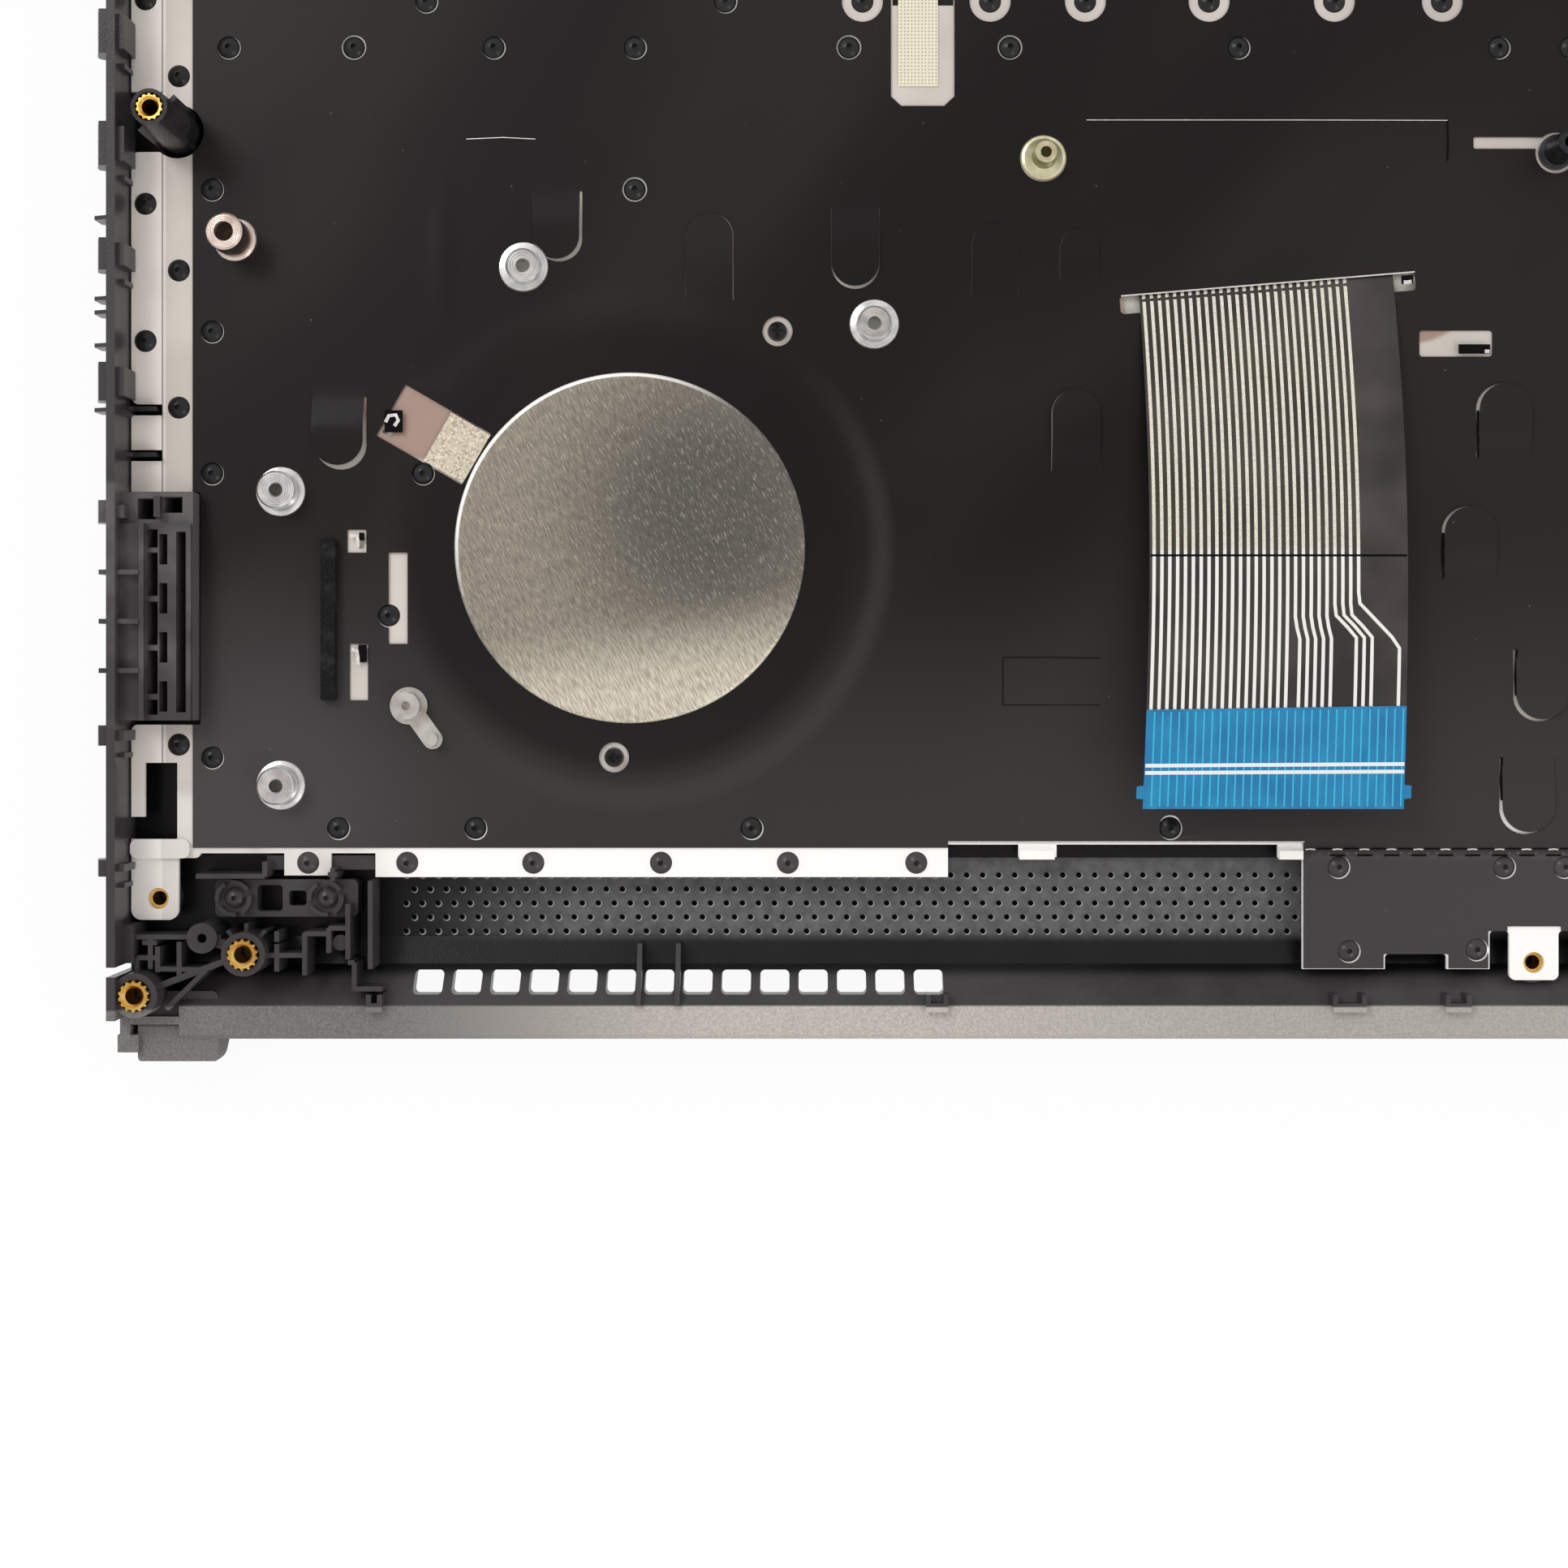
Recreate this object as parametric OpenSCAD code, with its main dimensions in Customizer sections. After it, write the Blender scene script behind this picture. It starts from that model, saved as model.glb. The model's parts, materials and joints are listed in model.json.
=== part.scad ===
// Upper case of a 15.6 inch laptop with its keyboard, lying keys down.
// The inner side looks up (+Z), the hinge edge is at -Y and the palm edge at +Y.
// The origin is under the middle of the whole part, on the face it lies on.

/* [Case] */
// Distance from the outermost keys' cells to the shell's side faces
side_margin = 13.3; // [13:0.1:16]
// Depth of the shell from the hinge edge to the palm edge
case_d = 259; // [255:0.5:265]
// Thickness of the deck
deck_t = 1.6; // [1.4:0.1:2]
// Thickness of the side and front walls
wall_t = 1.1; // [0.9:0.1:1.4]
// Height of the side walls above the face it lies on
wall_h = 11.8; // [11:0.1:13]
// How far the hinge covers stand out behind the shell
hinge_out = 3; // [2:0.5:4]
// How far the snap hooks stand out beside the shell
hook_out = 1.8; // [1.2:0.1:2.4]
// Radius of the two palm corners
corner_r = 9; // [4:0.5:14]

/* [Keys] */
// Pitch of the main keys across the case
key_pitch = 17.8; // [17.4:0.05:17.9]
// Pitch of the number pad keys across the case
pad_pitch = 15.7; // [15:0.05:15.8]
// Pitch of the key rows
row_pitch = 17.9; // [17.5:0.05:18.2]
// Depth of the half height function row
fn_pitch = 8.9; // [8.6:0.05:9.4]
// Width of the bars between the key openings
bar_w = 1.6; // [1.4:0.05:1.8]
// Gap between a key cap and its opening
cap_gap = 0.3; // [0.25:0.01:0.4]
// Height of a key cap
cap_h = 2; // [1.8:0.05:2.2]
// Thickness of a key cap's finger face
cap_t = 0.9; // [0.7:0.05:1]
// How far a key goes down when it is pressed
key_travel = 1.5; // [1.2:0.05:1.6]
// How far the finger faces lie below the deck's face
key_sink = 0.6; // [0.4:0.05:0.7]

/* [Key web] */
// Depth of the well around the keys
well_h = 1.3; // [1:0.05:1.4]
// Thickness of the web that the keys come through
web_t = 1.2; // [1:0.05:1.4]
// Distance from the hinge edge to the rear bar of the web
rear_margin = 26.5; // [26.3:0.1:27]

/* [Plate and film] */
// Room between the web and the membrane, where the keys work
key_room = 2.4; // [2.2:0.05:2.8]
// Thickness of the membrane sheet
membrane_t = 0.3; // [0.2:0.05:0.4]
// Thickness of the steel plate behind the keys
plate_t = 0.6; // [0.5:0.05:0.8]
// Thickness of the insulating film
film_t = 0.2; // [0.15:0.01:0.25]
// Gap between the plate and the side walls
plate_gap = 0.2; // [0.15:0.01:0.4]

/* [Heat stakes] */
// Radius of a stake's shaft
stake_r = 0.75; // [0.6:0.01:0.8]
// Radius of a stake's head
head_r = 1.4; // [1.25:0.01:1.5]
// Height of a stake's head
head_h = 0.7; // [0.5:0.05:0.9]
// Gap between a shaft and the hole it goes through
stake_gap = 0.1; // [0.08:0.01:0.15]

/* [Grille] */
// Pitch of the grille holes across the case
grille_pitch = 2.05; // [1.9:0.05:2.3]
// Pitch of the rows of grille holes
grille_row = 1.79; // [1.7:0.01:1.8]
// Diameter of a grille hole
grille_d = 0.7; // [0.5:0.01:0.9]
// Rows of grille holes
grille_rows = 5; // [3:1:5]
// Thickness left under the grille's blind holes
grille_skin = 0.4; // [0.3:0.05:0.6]

/* [Exhaust slots] */
// Exhaust slots on each side
slot_n = 14; // [10:1:14]
// Pitch of the exhaust slots
slot_pitch = 4.87; // [4.6:0.01:4.9]
// Width of an exhaust slot
slot_w = 3.7; // [3:0.05:3.9]

/* [Hardware] */
// Height of the tall screw bosses above the plate
boss_h = 12; // [11:0.1:13]
// Height of the tall standoff above the plate
tall_h = 6; // [5:0.1:7]
// Height of the flanged standoffs above the plate
flange_h = 1.8; // [1.5:0.05:2.2]
// Height of the two wide standoffs at the left above the plate
wide_h = 3.4; // [3:0.1:3.8]
// Radius of the threaded hole in a flanged standoff
flange_hole_r = 0.8; // [0.7:0.01:0.9]
// Radius of the brass inserts
insert_r = 2; // [1.9:0.01:2.05]
// Radius of the hole in a brass insert
insert_hole_r = 1.05; // [0.9:0.01:1.2]

/* [Ribbon] */
// Width of the ribbon
ribbon_w = 32; // [30:0.1:33]
// Thickness of the ribbon
ribbon_t = 0.2; // [0.15:0.01:0.25]
// Length of the ribbon from its slot, seen from above
ribbon_len = 68; // [60:0.5:70]
// How far the ribbon's free end stands up
ribbon_rise = 8; // [7:0.1:8.5]
// Length of the blue stiffener at its free end
stiff_len = 12.4; // [10:0.1:14]

/* [Shield disc] */
// Diameter of the shield disc
disc_d = 44.2; // [40:0.1:46]
// Thickness of the shield disc
disc_t = 0.3; // [0.2:0.05:0.5]

/* [Touch pad opening] */
// Width of the touch pad opening
pad_w = 106; // [95:0.5:110]
// Depth of the touch pad opening
pad_d = 78; // [65:0.5:80]
// Distance from the touch pad opening to the palm edge
pad_margin = 23.1; // [20:0.1:30]

/* [Hidden] */
eps = 0.01;
$fn = 48;

// The key field across the case, and the shell's outer lines round it
field_w = 15 * key_pitch + 4 * pad_pitch;
field_x = field_w / 2;
case_w = field_w + 2 * side_margin;
side_x = case_w / 2;
front_y = (case_d + hinge_out) / 2;
rear_y = front_y - case_d;

// Heights of the stack, from the face it lies on upwards
web_z = well_h;
web_top = web_z + web_t;
membrane_z = web_top + key_room;
plate_z = membrane_z + membrane_t;
plate_top = plate_z + plate_t;
film_top = plate_top + film_t;

// The bars between the key rows, bar 0 being the rear one
rear_bar_y = rear_y + rear_margin;
function bar_y(i) = rear_bar_y + (i > 0 ? fn_pitch + (i - 1) * row_pitch : 0);
front_bar_y = bar_y(6);
main_mid_x = -field_x + 7.5 * key_pitch;

// Places on the plate, counted in key pitches from the field's left edge and in rows from bar 1
function at_u(u) = -field_x + u * key_pitch;
function at_v(v) = bar_y(1) + v * row_pitch;
function at(u, v) = [at_u(u), at_v(v)];

// Widths of the keys in each row, in main pitches, and the number pad's beside them
ROW_UNITS = [
    [for (i = [0 : 14]) 1],
    [for (i = [0 : 13]) i < 13 ? 1 : 2],
    [for (i = [0 : 13]) i == 0 || i == 13 ? 1.5 : 1],
    [for (i = [0 : 12]) i == 0 ? 1.75 : i == 12 ? 2.25 : 1],
    [for (i = [0 : 12]) i == 0 ? 2.25 : i == 11 ? 1.75 : 1],
    [1.25, 1, 1, 1.25, 5.5, 1, 1, 1, 1, 1]];
function sum_to(v, n) = n <= 0 ? 0 : v[n - 1] + sum_to(v, n - 1);
function row_depth(r) = r == 0 ? fn_pitch : row_pitch;
function row_mid(r) = (bar_y(r) + bar_y(r + 1)) / 2;
function units(r, k) = ROW_UNITS[r][k];
function key_w(r, k) = units(r, k) * key_pitch;
function key_x(r, k) = -field_x + (sum_to(ROW_UNITS[r], k) + units(r, k) / 2) * key_pitch;
function pad_x(k) = -field_x + (15 * key_pitch) + (k + 0.5) * pad_pitch;

// Keys that have a name, as row and place in the row
NAMED = [[0, 0], [1, 13], [2, 0], [3, 12], [4, 0], [5, 4],
    for (k = [1 : 10]) [2, k], for (k = [1 : 9]) [3, k], for (k = [1 : 7]) [4, k],
    [4, 12], [5, 7], [5, 8], [5, 9]];
function is_named(r, k) = len([for (n = NAMED) if (n[0] == r && n[1] == k) 1]) > 0;

// Every key as its middle and the size of its cell
MAIN_KEYS = [for (r = [0 : 5]) for (k = [0 : len(ROW_UNITS[r]) - 1])
    [key_x(r, k), row_mid(r), key_w(r, k), row_depth(r), is_named(r, k)]];
PAD_KEYS = [for (r = [0 : 5]) for (k = [0 : 3])
    [pad_x(k), row_mid(r), pad_pitch, row_depth(r), false]];
ALL_KEYS = [each MAIN_KEYS, each PAD_KEYS];

// Plate and film outlines
plate_x = side_x - wall_t - plate_gap;
film_x = plate_x - 7.8;
plate_front = front_bar_y + 12;
film_front = plate_front - 1.5;
strip_rear = rear_bar_y - 6;
film_rear = rear_bar_y - 2.5;
inner_rear = rear_bar_y - 2.1;

// Places of the heat stakes, for the left half
side_stake_x = field_x + 1.8;
FRONT_STAKES = [0.017, 0.904, 1.893, 2.893, 4.41, 5.551, 7.169, 9.011];
REAR_STAKES = [0.792, 1.764, 3.719, 6.685];
RING_STAKES = [1.416, 3.534, 4.506, 5.41, 6.084, 6.961, 7.848, 8.612];
STRIP_STAKES = [0.579, 1.281, 2.174, 3.079, 3.978, 4.888];
ring_y = front_bar_y + 5.8;
strip_y = rear_bar_y - 4.4;
INNER_STAKES = [[2.893, 5], [1.393, 3], [1.152, 2]];
inner_stakes = [for (s = INNER_STAKES) [at_u(s[0]), bar_y(s[1])]];
film_stakes = [
    for (u = FRONT_STAKES) [at_u(u), front_bar_y],
    for (u = REAR_STAKES) [at_u(u), rear_bar_y],
    for (i = [1, 3, 4, 5]) [-side_stake_x, bar_y(i)],
    each inner_stakes,
    [at_u(RING_STAKES[0]), ring_y],
    [at_u(RING_STAKES[1]), ring_y]];
ring_stakes = [for (i = [2 : len(RING_STAKES) - 1]) [at_u(RING_STAKES[i]), ring_y]];
rear_stakes = [for (u = STRIP_STAKES) [at_u(u), strip_y]];
outer_col = plate_x - 1.8;
inner_col = plate_x - 6;
side_stakes = [
    [-outer_col, front_bar_y + 6.1],
    [-inner_col, at_v(4.799)],
    [-outer_col, at_v(3.9)],
    [-inner_col, at_v(3.43)],
    [-outer_col, at_v(2.933)],
    [-inner_col, at_v(2.464)],
    [-inner_col, at_v(0.089)]];
bracket_x = 29.2;
bracket_stakes = [
    [-bracket_x + 4.5, rear_bar_y - 4.9],
    [-bracket_x + 25.4, rear_bar_y - 4.9],
    [-bracket_x + 5.8, rear_bar_y - 15.5]];
bracket_pin = [-bracket_x + 21.9, rear_bar_y - 15.3];
SCREWS = [[3.904, 4], [2.747, 1]];
screw_places = [for (s = SCREWS) [at_u(s[0]), bar_y(s[1])]];
left_stakes = [each film_stakes, each ring_stakes, each rear_stakes, each side_stakes,
    each bracket_stakes, bracket_pin];

// Places of the hardware on the plate
tall_boss = [-plate_x + 5.8, at_v(4.41)];
boss_clear = 3.4;
tall_place = at(0.067, 3.64);
brass_place = at(5.787, 4.218);
post_place = at(9.416, 4.257);
short_places = [at(2.107, 3.453), at(4.59, 3.05)];
wide_places = [at(0.388, 1.871), at(0.388, -0.196)];
flange_places = concat(short_places, wide_places);
locate_place = at(1.298, 0.363);
locate_pin = locate_place + [3, -4.2];
disc_place = at(2.86, 1.475);
gasket_place = at(0.736, 0.969);
gasket_w = 1.8;
gasket_l = 20.3;
window_x = at_u(4.933);
strip_end = at_u(5.112);
hinge_a = [-side_x + 16.4, rear_y + 11];
hinge_b = [-side_x + 3.2, rear_y + 6];
hinge_pin = [-side_x + 11, rear_y + 12.9];
bracket_a = [-plate_x + 3.4, rear_bar_y - 8.9];
bracket_mid = [0, rear_bar_y - 17];

// Small helpers
module block(x0, y0, x1, y1) { translate([x0, y0]) square([x1 - x0, y1 - y0]); }
module slab(z0, z1) { translate([0, 0, z0]) linear_extrude(z1 - z0) children(); }
module both_sides() { children(); mirror([1, 0, 0]) children(); }
module dots(places, r) { for (p = places) translate(p) circle(r); }
module posts(places, r, z0, z1) { slab(z0, z1) dots(places, r); }

// A rectangle between two corners with all four of its corners rounded
module soft_block(x0, y0, x1, y1, r) {
    block(x0 + r, y0, x1 - r, y1);
    block(x0, y0 + r, x1, y1 - r);
    for (x = [x0 + r, x1 - r]) for (y = [y0 + r, y1 - r]) translate([x, y]) circle(r);
}

// A bar of the given width from one point to another
module bar(a, b, w) {
    d = b - a;
    translate(a) rotate(atan2(d[1], d[0])) translate([0, -w / 2]) square([norm(d), w]);
}

// An outline in X and Z carried along Y, and one in Y and Z carried along X
module along_y(y0, y1) { translate([0, y1, 0]) rotate([90, 0, 0]) linear_extrude(y1 - y0) children(); }
module along_x(x0, x1) {
    translate([x0, 0, 0]) rotate([90, 0, 90]) linear_extrude(x1 - x0) children();
}

// Palmrest cover: the shell's outline at the deck
foot_y = rear_y + 10.8;
corner_x = side_x - 32;
module shell_outline() {
    block(-side_x, foot_y, side_x, front_y - corner_r);
    block(-side_x + corner_r, front_y - corner_r - eps, side_x - corner_r, front_y);
    for (s = [-1, 1]) translate([s * (side_x - corner_r), front_y - corner_r]) circle(corner_r);
    both_sides() block(-side_x, rear_y, -corner_x, foot_y + eps);
}

pad_y0 = front_y - pad_margin - pad_d;
pad_x0 = main_mid_x - pad_w / 2;
module pad_opening() { soft_block(pad_x0, pad_y0, pad_x0 + pad_w, pad_y0 + pad_d, 2); }

// The grille's holes stand in staggered rows behind the keys
grille_x0 = side_x - 35.2;
grille_x1 = bracket_x - 0.4;
grille_y = rear_bar_y - 6.3;
grille_cols = floor((grille_x0 - grille_x1) / grille_pitch);
module grille_holes() {
    for (row = [0 : grille_rows - 1]) for (col = [0 : grille_cols]) {
        x = -grille_x0 + (col + (row % 2) / 2) * grille_pitch;
        if (row > 0 || x > strip_end)
            translate([x, grille_y - row * grille_row]) circle(grille_d / 2, $fn = 16);
    }
}

well_margin = 0.8;
well_x = field_x + well_margin;
module deck_face() {
    difference() {
        shell_outline();
        block(-well_x, rear_bar_y - well_margin, well_x, front_bar_y + well_margin);
        pad_opening();
    }
}
module deck() {
    slab(0, grille_skin) deck_face();
    slab(grille_skin - eps, deck_t) difference() {
        deck_face();
        both_sides() grille_holes();
    }
}

module key_openings() {
    for (k = ALL_KEYS)
        translate([k[0], k[1]]) square([k[2] - bar_w, k[3] - bar_w], center = true);
}

// The web carries the keys' openings, with ribs up to the membrane and rails up to the plate
rail_w = 2.2;
module key_web() {
    slab(web_z, web_top) difference() {
        block(-field_x - 4, rear_bar_y - 4, field_x + 4, front_bar_y + 8);
        key_openings();
    }
    slab(web_top - eps, membrane_z) for (i = [1 : 5])
        block(-field_x - 1, bar_y(i) - 0.5, field_x + 1, bar_y(i) + 0.5);
    slab(web_top - eps, plate_z) {
        both_sides() block(-field_x - 3, rear_bar_y - 1.2, -field_x - 3 + rail_w, front_bar_y + 1.2);
        block(-field_x - 2, rear_bar_y - 1.2, field_x + 2, rear_bar_y + 0.7);
        block(-field_x - 2, front_bar_y - 0.7, field_x + 2, front_bar_y + 1.2);
        block(-field_x - 2, ring_y - 1, field_x + 2, ring_y + 1);
    }
}

// The hinge edge: a slanted wall with the exhaust slots, and a flat lip
lip_z = 5.6;
lip_t = 1.6;
lip_in = rear_y + 4.2;
lip_top = lip_z + lip_t;
lip_x = side_x - 7.7;
knee_y = rear_y + 9;
knee_z = 2.6;
slot_x0 = side_x - 38.6;
slot_y0 = lip_in + 1.3;
slot_y1 = knee_y - 0.7;
module rear_profile() {
    polygon([[foot_y + 0.4, 0], [knee_y - 0.6, knee_z - 1.5], [lip_in - 1.2, lip_z], [rear_y + 0.5, lip_z],
        [rear_y, lip_z + 0.6], [rear_y, lip_top - 0.8], [rear_y + 0.6, lip_top], [lip_in, lip_top],
        [knee_y, knee_z], [foot_y + 1.6, deck_t], [foot_y + 1.6, 0]]);
}
module exhaust_slots() {
    for (i = [0 : slot_n - 1]) translate([-slot_x0 + i * slot_pitch, 0])
        soft_block(-slot_w / 2, slot_y0, slot_w / 2, slot_y1, 0.6);
}
module rear_wall() {
    difference() {
        along_x(-lip_x, lip_x) rear_profile();
        both_sides() slab(-1, lip_top + 1) exhaust_slots();
    }
    both_sides() for (i = [5, 6]) slot_fin(-slot_x0 + (i + 0.5) * slot_pitch);
}
module slot_fin(x) {
    along_x(x - 0.3, x + 0.3) polygon([[foot_y + 1, deck_t - eps], [lip_in - 0.5, lip_top - 0.5],
        [lip_in, lip_top + 0.6], [foot_y + 1, deck_t + 3.5]]);
}

// A snap hook's outline: its foot in the wall and a nose that points out and down
hook_z = wall_h - 3.4;
module hook_profile() {
    nose_x = -side_x - hook_out;
    polygon([[-side_x + 0.3, hook_z - 1.4], [-side_x, hook_z - 1.4], [nose_x, hook_z],
        [nose_x, hook_z + 0.9], [nose_x + 0.7, wall_h - 0.6], [-side_x + 0.3, wall_h - 0.6]]);
}
REAR_HOOKS = [[4.877, 5.5], [4.101, 5.5], [3.38, 4], [2.475, 4.8],
    [1.631, 2.8], [0.089, 2.5], [-0.816, 2.1]];
// Hooks beside the palm rest, by their distance from the palm edge
PALM_HOOKS = [117, 93, 69, 45, 25];
HOOKS = [for (h = REAR_HOOKS) [at_v(h[0]), at_v(h[0]) + h[1]],
    for (y = PALM_HOOKS) [front_y - y, front_y - y + 5.5]];
FINS = [for (v = [3.743, 3.184, 3.089, 2.86, 2.413]) at_v(v)];
module side_hooks() {
    for (h = HOOKS) along_y(h[0], h[1]) hook_profile();
    for (y = FINS) along_y(y - 0.25, y + 0.25)
        polygon([[-side_x - hook_out, hook_z - 0.6], [-side_x - hook_out, wall_h - 1.2],
            [-side_x + 0.3, wall_h - 0.4], [-side_x + 0.3, hook_z - 2.4]]);
}

// Side wall with the stiffening ribs on its inner face above the plate
module side_wall() {
    slab(deck_t - eps, wall_h) {
        difference() {
            block(-side_x, rear_y + 3, -side_x + wall_t, front_y - corner_r);
            block(-side_x - 1, rear_y + 8.4, -side_x + wall_t + 1, rear_y + 9.6);
        }
    }
    slab(film_top + 0.4, wall_h - 0.8) for (h = HOOKS)
        block(-side_x + wall_t - eps, h[0] + 0.6, -side_x + wall_t + 0.9, h[1] - 0.6);
    slab(film_top + 0.4, wall_h - 2) for (h = HOOKS)
        block(-side_x + wall_t - eps, h[0] - 1.5, -side_x + wall_t + 0.6, h[0] - 0.9);
    slab(deck_t - eps, plate_top + 1.6) for (y = plate_gaps)
        block(-side_x + wall_t - eps, y - 0.25, -fold_x - 0.4, y + 0.25);
}

catch_pitch = 60;
catch_w = 8;
module front_wall() {
    slab(deck_t - eps, wall_h) difference() {
        union() {
            block(-side_x + corner_r, front_y - wall_t, side_x - corner_r, front_y);
            for (s = [-1, 1]) translate([s * (side_x - corner_r), front_y - corner_r]) circle(corner_r);
        }
        both_sides() translate([-side_x + corner_r, front_y - corner_r]) circle(corner_r - wall_t);
        block(-side_x - 1, 0, side_x + 1, front_y - corner_r);
        block(-side_x + corner_r, front_y - corner_r - 1, side_x - corner_r, front_y - wall_t);
    }
    for (n = [-2 : 2]) let (x = n * catch_pitch) along_x(x - catch_w / 2, x + catch_w / 2)
        polygon([[front_y - wall_t + eps, wall_h - 3.6], [front_y - wall_t - 1.4, wall_h - 1.8],
            [front_y - wall_t - 1.4, wall_h - 1], [front_y - wall_t + eps, wall_h - 0.6]]);
}

// Palm side: low ribs round the touch pad opening and across to the front wall
rib_h = 3.4;
palm_boss_h = 8;
outer_boss = 28.2;
inner_boss = 88.2;
boss_edge = 8;
FRONT_BOSSES = [for (x = [outer_boss, inner_boss]) for (s = [-1, 1]) [s * (side_x - x), front_y - boss_edge]];
module palm_ribs() {
    slab(deck_t - eps, rib_h) difference() {
        soft_block(pad_x0 - 2.6, pad_y0 - 2.6, pad_x0 + pad_w + 2.6, pad_y0 + pad_d + 2.6, 3);
        soft_block(pad_x0 - 1.4, pad_y0 - 1.4, pad_x0 + pad_w + 1.4, pad_y0 + pad_d + 1.4, 2.4);
    }
    boss_x = side_x - outer_boss;
    slab(deck_t - eps, rib_h) for (x = [-boss_x, pad_x0 - 14, pad_x0 + pad_w + 14, side_x - inner_boss, boss_x])
        block(x - 0.5, front_bar_y + 16, x + 0.5, front_y - boss_edge);
    slab(deck_t - eps, rib_h) {
        block(-side_x + wall_t - eps, pad_y0 + 36, pad_x0 - 2, pad_y0 + 37);
        block(pad_x0 + pad_w + 2, pad_y0 + 36, side_x - wall_t + eps, pad_y0 + 37);
    }
    posts(FRONT_BOSSES, insert_r + 0.9, deck_t - eps, palm_boss_h);
}

// Vent comb beside the keys: an outer panel, two rows of slots and an inner channel
comb_y0 = at_v(0.263);
comb_y1 = at_v(1.631);
comb_step = 6.1;
comb_in = side_x - 9.9;
module side_comb() {
    slab(deck_t - eps, wall_h - 2) difference() {
        block(-side_x + eps, comb_y0, -comb_in, comb_y1);
        block(-side_x + 8.1, comb_y0 + 1, -side_x + 9.3, comb_y1 - 1);
        for (i = [0 : 3]) {
            y = comb_y1 - i * comb_step;
            block(-side_x + 4.5, max(y - 9, comb_y0 + 0.7), -side_x + 5.8, y - 3.6);
            block(-side_x + 6, y - 5.1, -side_x + 7, y - 1.3);
        }
        block(-side_x + 4.5, comb_y1 - 3, -side_x + 5.8, comb_y1 - 0.7);
    }
    slab(deck_t + 3, wall_h - 0.6) for (i = [1 : 3]) {
        y = comb_y1 - i * comb_step;
        block(-side_x - hook_out + 0.7, y - 0.3, -side_x + 3.8, y + 0.3);
    }
    slab(deck_t - eps, wall_h - 0.8) block(-side_x + 3.8, comb_y0, -side_x + 4.4, comb_y1);
    slab(deck_t - eps, wall_h - 3) difference() {
        block(-side_x + wall_t, comb_y1 - eps, -comb_in, comb_y1 + 4);
        block(-side_x + 3, comb_y1 + 0.6, -side_x + 5.4, comb_y1 + 3.2);
        block(-side_x + 6.2, comb_y1 + 1.4, -side_x + 8.6, comb_y1 + 3.4);
    }
    slab(deck_t - eps, wall_h - 1.6) block(-side_x + 5.4, comb_y1 + 0.8, -side_x + 6.2, comb_y1 + 3.4);
}

// Hinge corner: platform with two stakes, three bosses and the ribs that tie them together
platform_z = plate_top;
platform_y = rear_y + 15.3;
hinge_a_z = plate_top + 4;
hinge_b_z = plate_top + 5;
CORNER_RIBS = [
    [[0.5, 13], [13.2, 13]], [[4.4, 9], [4.4, 13.2]], [[3.4, 12.3], [5.2, 12.3]],
    [[5.3, 8.6], [5.3, 11.8]], [[2.7, 7.8], [2.7, 10.4]], [[2.7, 10.4], [5.3, 10.4]],
    [[5.3, 9], [11.4, 8.9]], [[11.4, 8.9], [6.4, 4]], [[8, 8.2], [8, 12.4]],
    [[18.7, 10.7], [23.4, 10.7]], [[20.2, 8.7], [20.2, 12.1]], [[20.2, 12.4], [20.2, 13.7]],
    [[23.7, 8.2], [23.7, 13.5]], [[23.7, 13.4], [26.7, 13.4]], [[26.7, 11], [26.7, 14.1]],
    [[26.7, 14.1], [28.9, 14.1]], [[29.1, 10.2], [29.1, 17.1]], [[29.1, 9.8], [29.9, 9.8]],
    [[29.9, 6.3], [29.9, 9.8]], [[29.9, 6.5], [33.4, 6.5]], [[10.1, 20.6], [18.7, 20.6]],
    [[18.7, 20.6], [18.7, 22.4]], [[26.6, 20.8], [27.8, 20.8]], [[27.2, 20], [27.2, 21.6]],
    [[31.9, 9], [31.9, 20]]];
module hinge_corner() {
    slab(deck_t - eps, platform_z) difference() {
        soft_block(-side_x + 11.9, platform_y, -side_x + 29.9, platform_y + 4.7, 0.8);
        soft_block(-side_x + 17.2, platform_y + 0.7, -side_x + 20.4, platform_y + 4, 0.5);
        soft_block(-side_x + 21.2, platform_y + 1.4, -side_x + 23.4, platform_y + 3.3, 0.4);
    }
    for (x = [14.4, 26]) translate([-side_x + x, platform_y + 2.4, platform_z - eps]) stake_head();
    slab(platform_z - eps, platform_z + 1) for (x = [14.4, 26])
        translate([-side_x + x, platform_y + 2.4]) difference() {
            circle(2.3);
            circle(1.8);
            for (a = [20 : 90 : 290]) rotate(a) translate([1, -0.4]) square([2, 0.8]);
        }
    posts([hinge_pin], 1.9, deck_t - eps, plate_top + 3);
    posts([hinge_a], insert_r + 0.75, deck_t - eps, hinge_a_z);
    posts([hinge_b], insert_r + 0.8, deck_t - eps, hinge_b_z);
    slab(deck_t - eps, plate_top + 2.4) {
        translate([-side_x, rear_y]) for (r = CORNER_RIBS) bar(r[0], r[1], 0.6);
        bar(hinge_b, hinge_a, 0.8);
        for (a = [50, 90, 130]) translate(hinge_a) rotate(a) translate([2, -0.25]) square([1.7, 0.5]);
        bar(hinge_pin, hinge_a, 1.2);
    }
    posts([[-side_x + 28, rear_y + 12.2]], 1, deck_t - eps, plate_top + 1.4);
    slab(deck_t - eps, plate_top + 3) block(-side_x + 0.5, rear_y + 9.8, -side_x + 2.5, bracket_a[1] - 3);
    slab(deck_t - eps, lip_top) {
        bar([-side_x + 0.4, rear_y + 2.4], [-lip_x + 1, rear_y + 2.4], 1);
        block(-side_x, rear_y - 1.6, -side_x + 2.6, rear_y + 0.6);
        block(-side_x + 0.3, rear_y, -side_x + 1.6, rear_y + 4);
    }
    hinge_cover();
    snap_clips();
}

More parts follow.
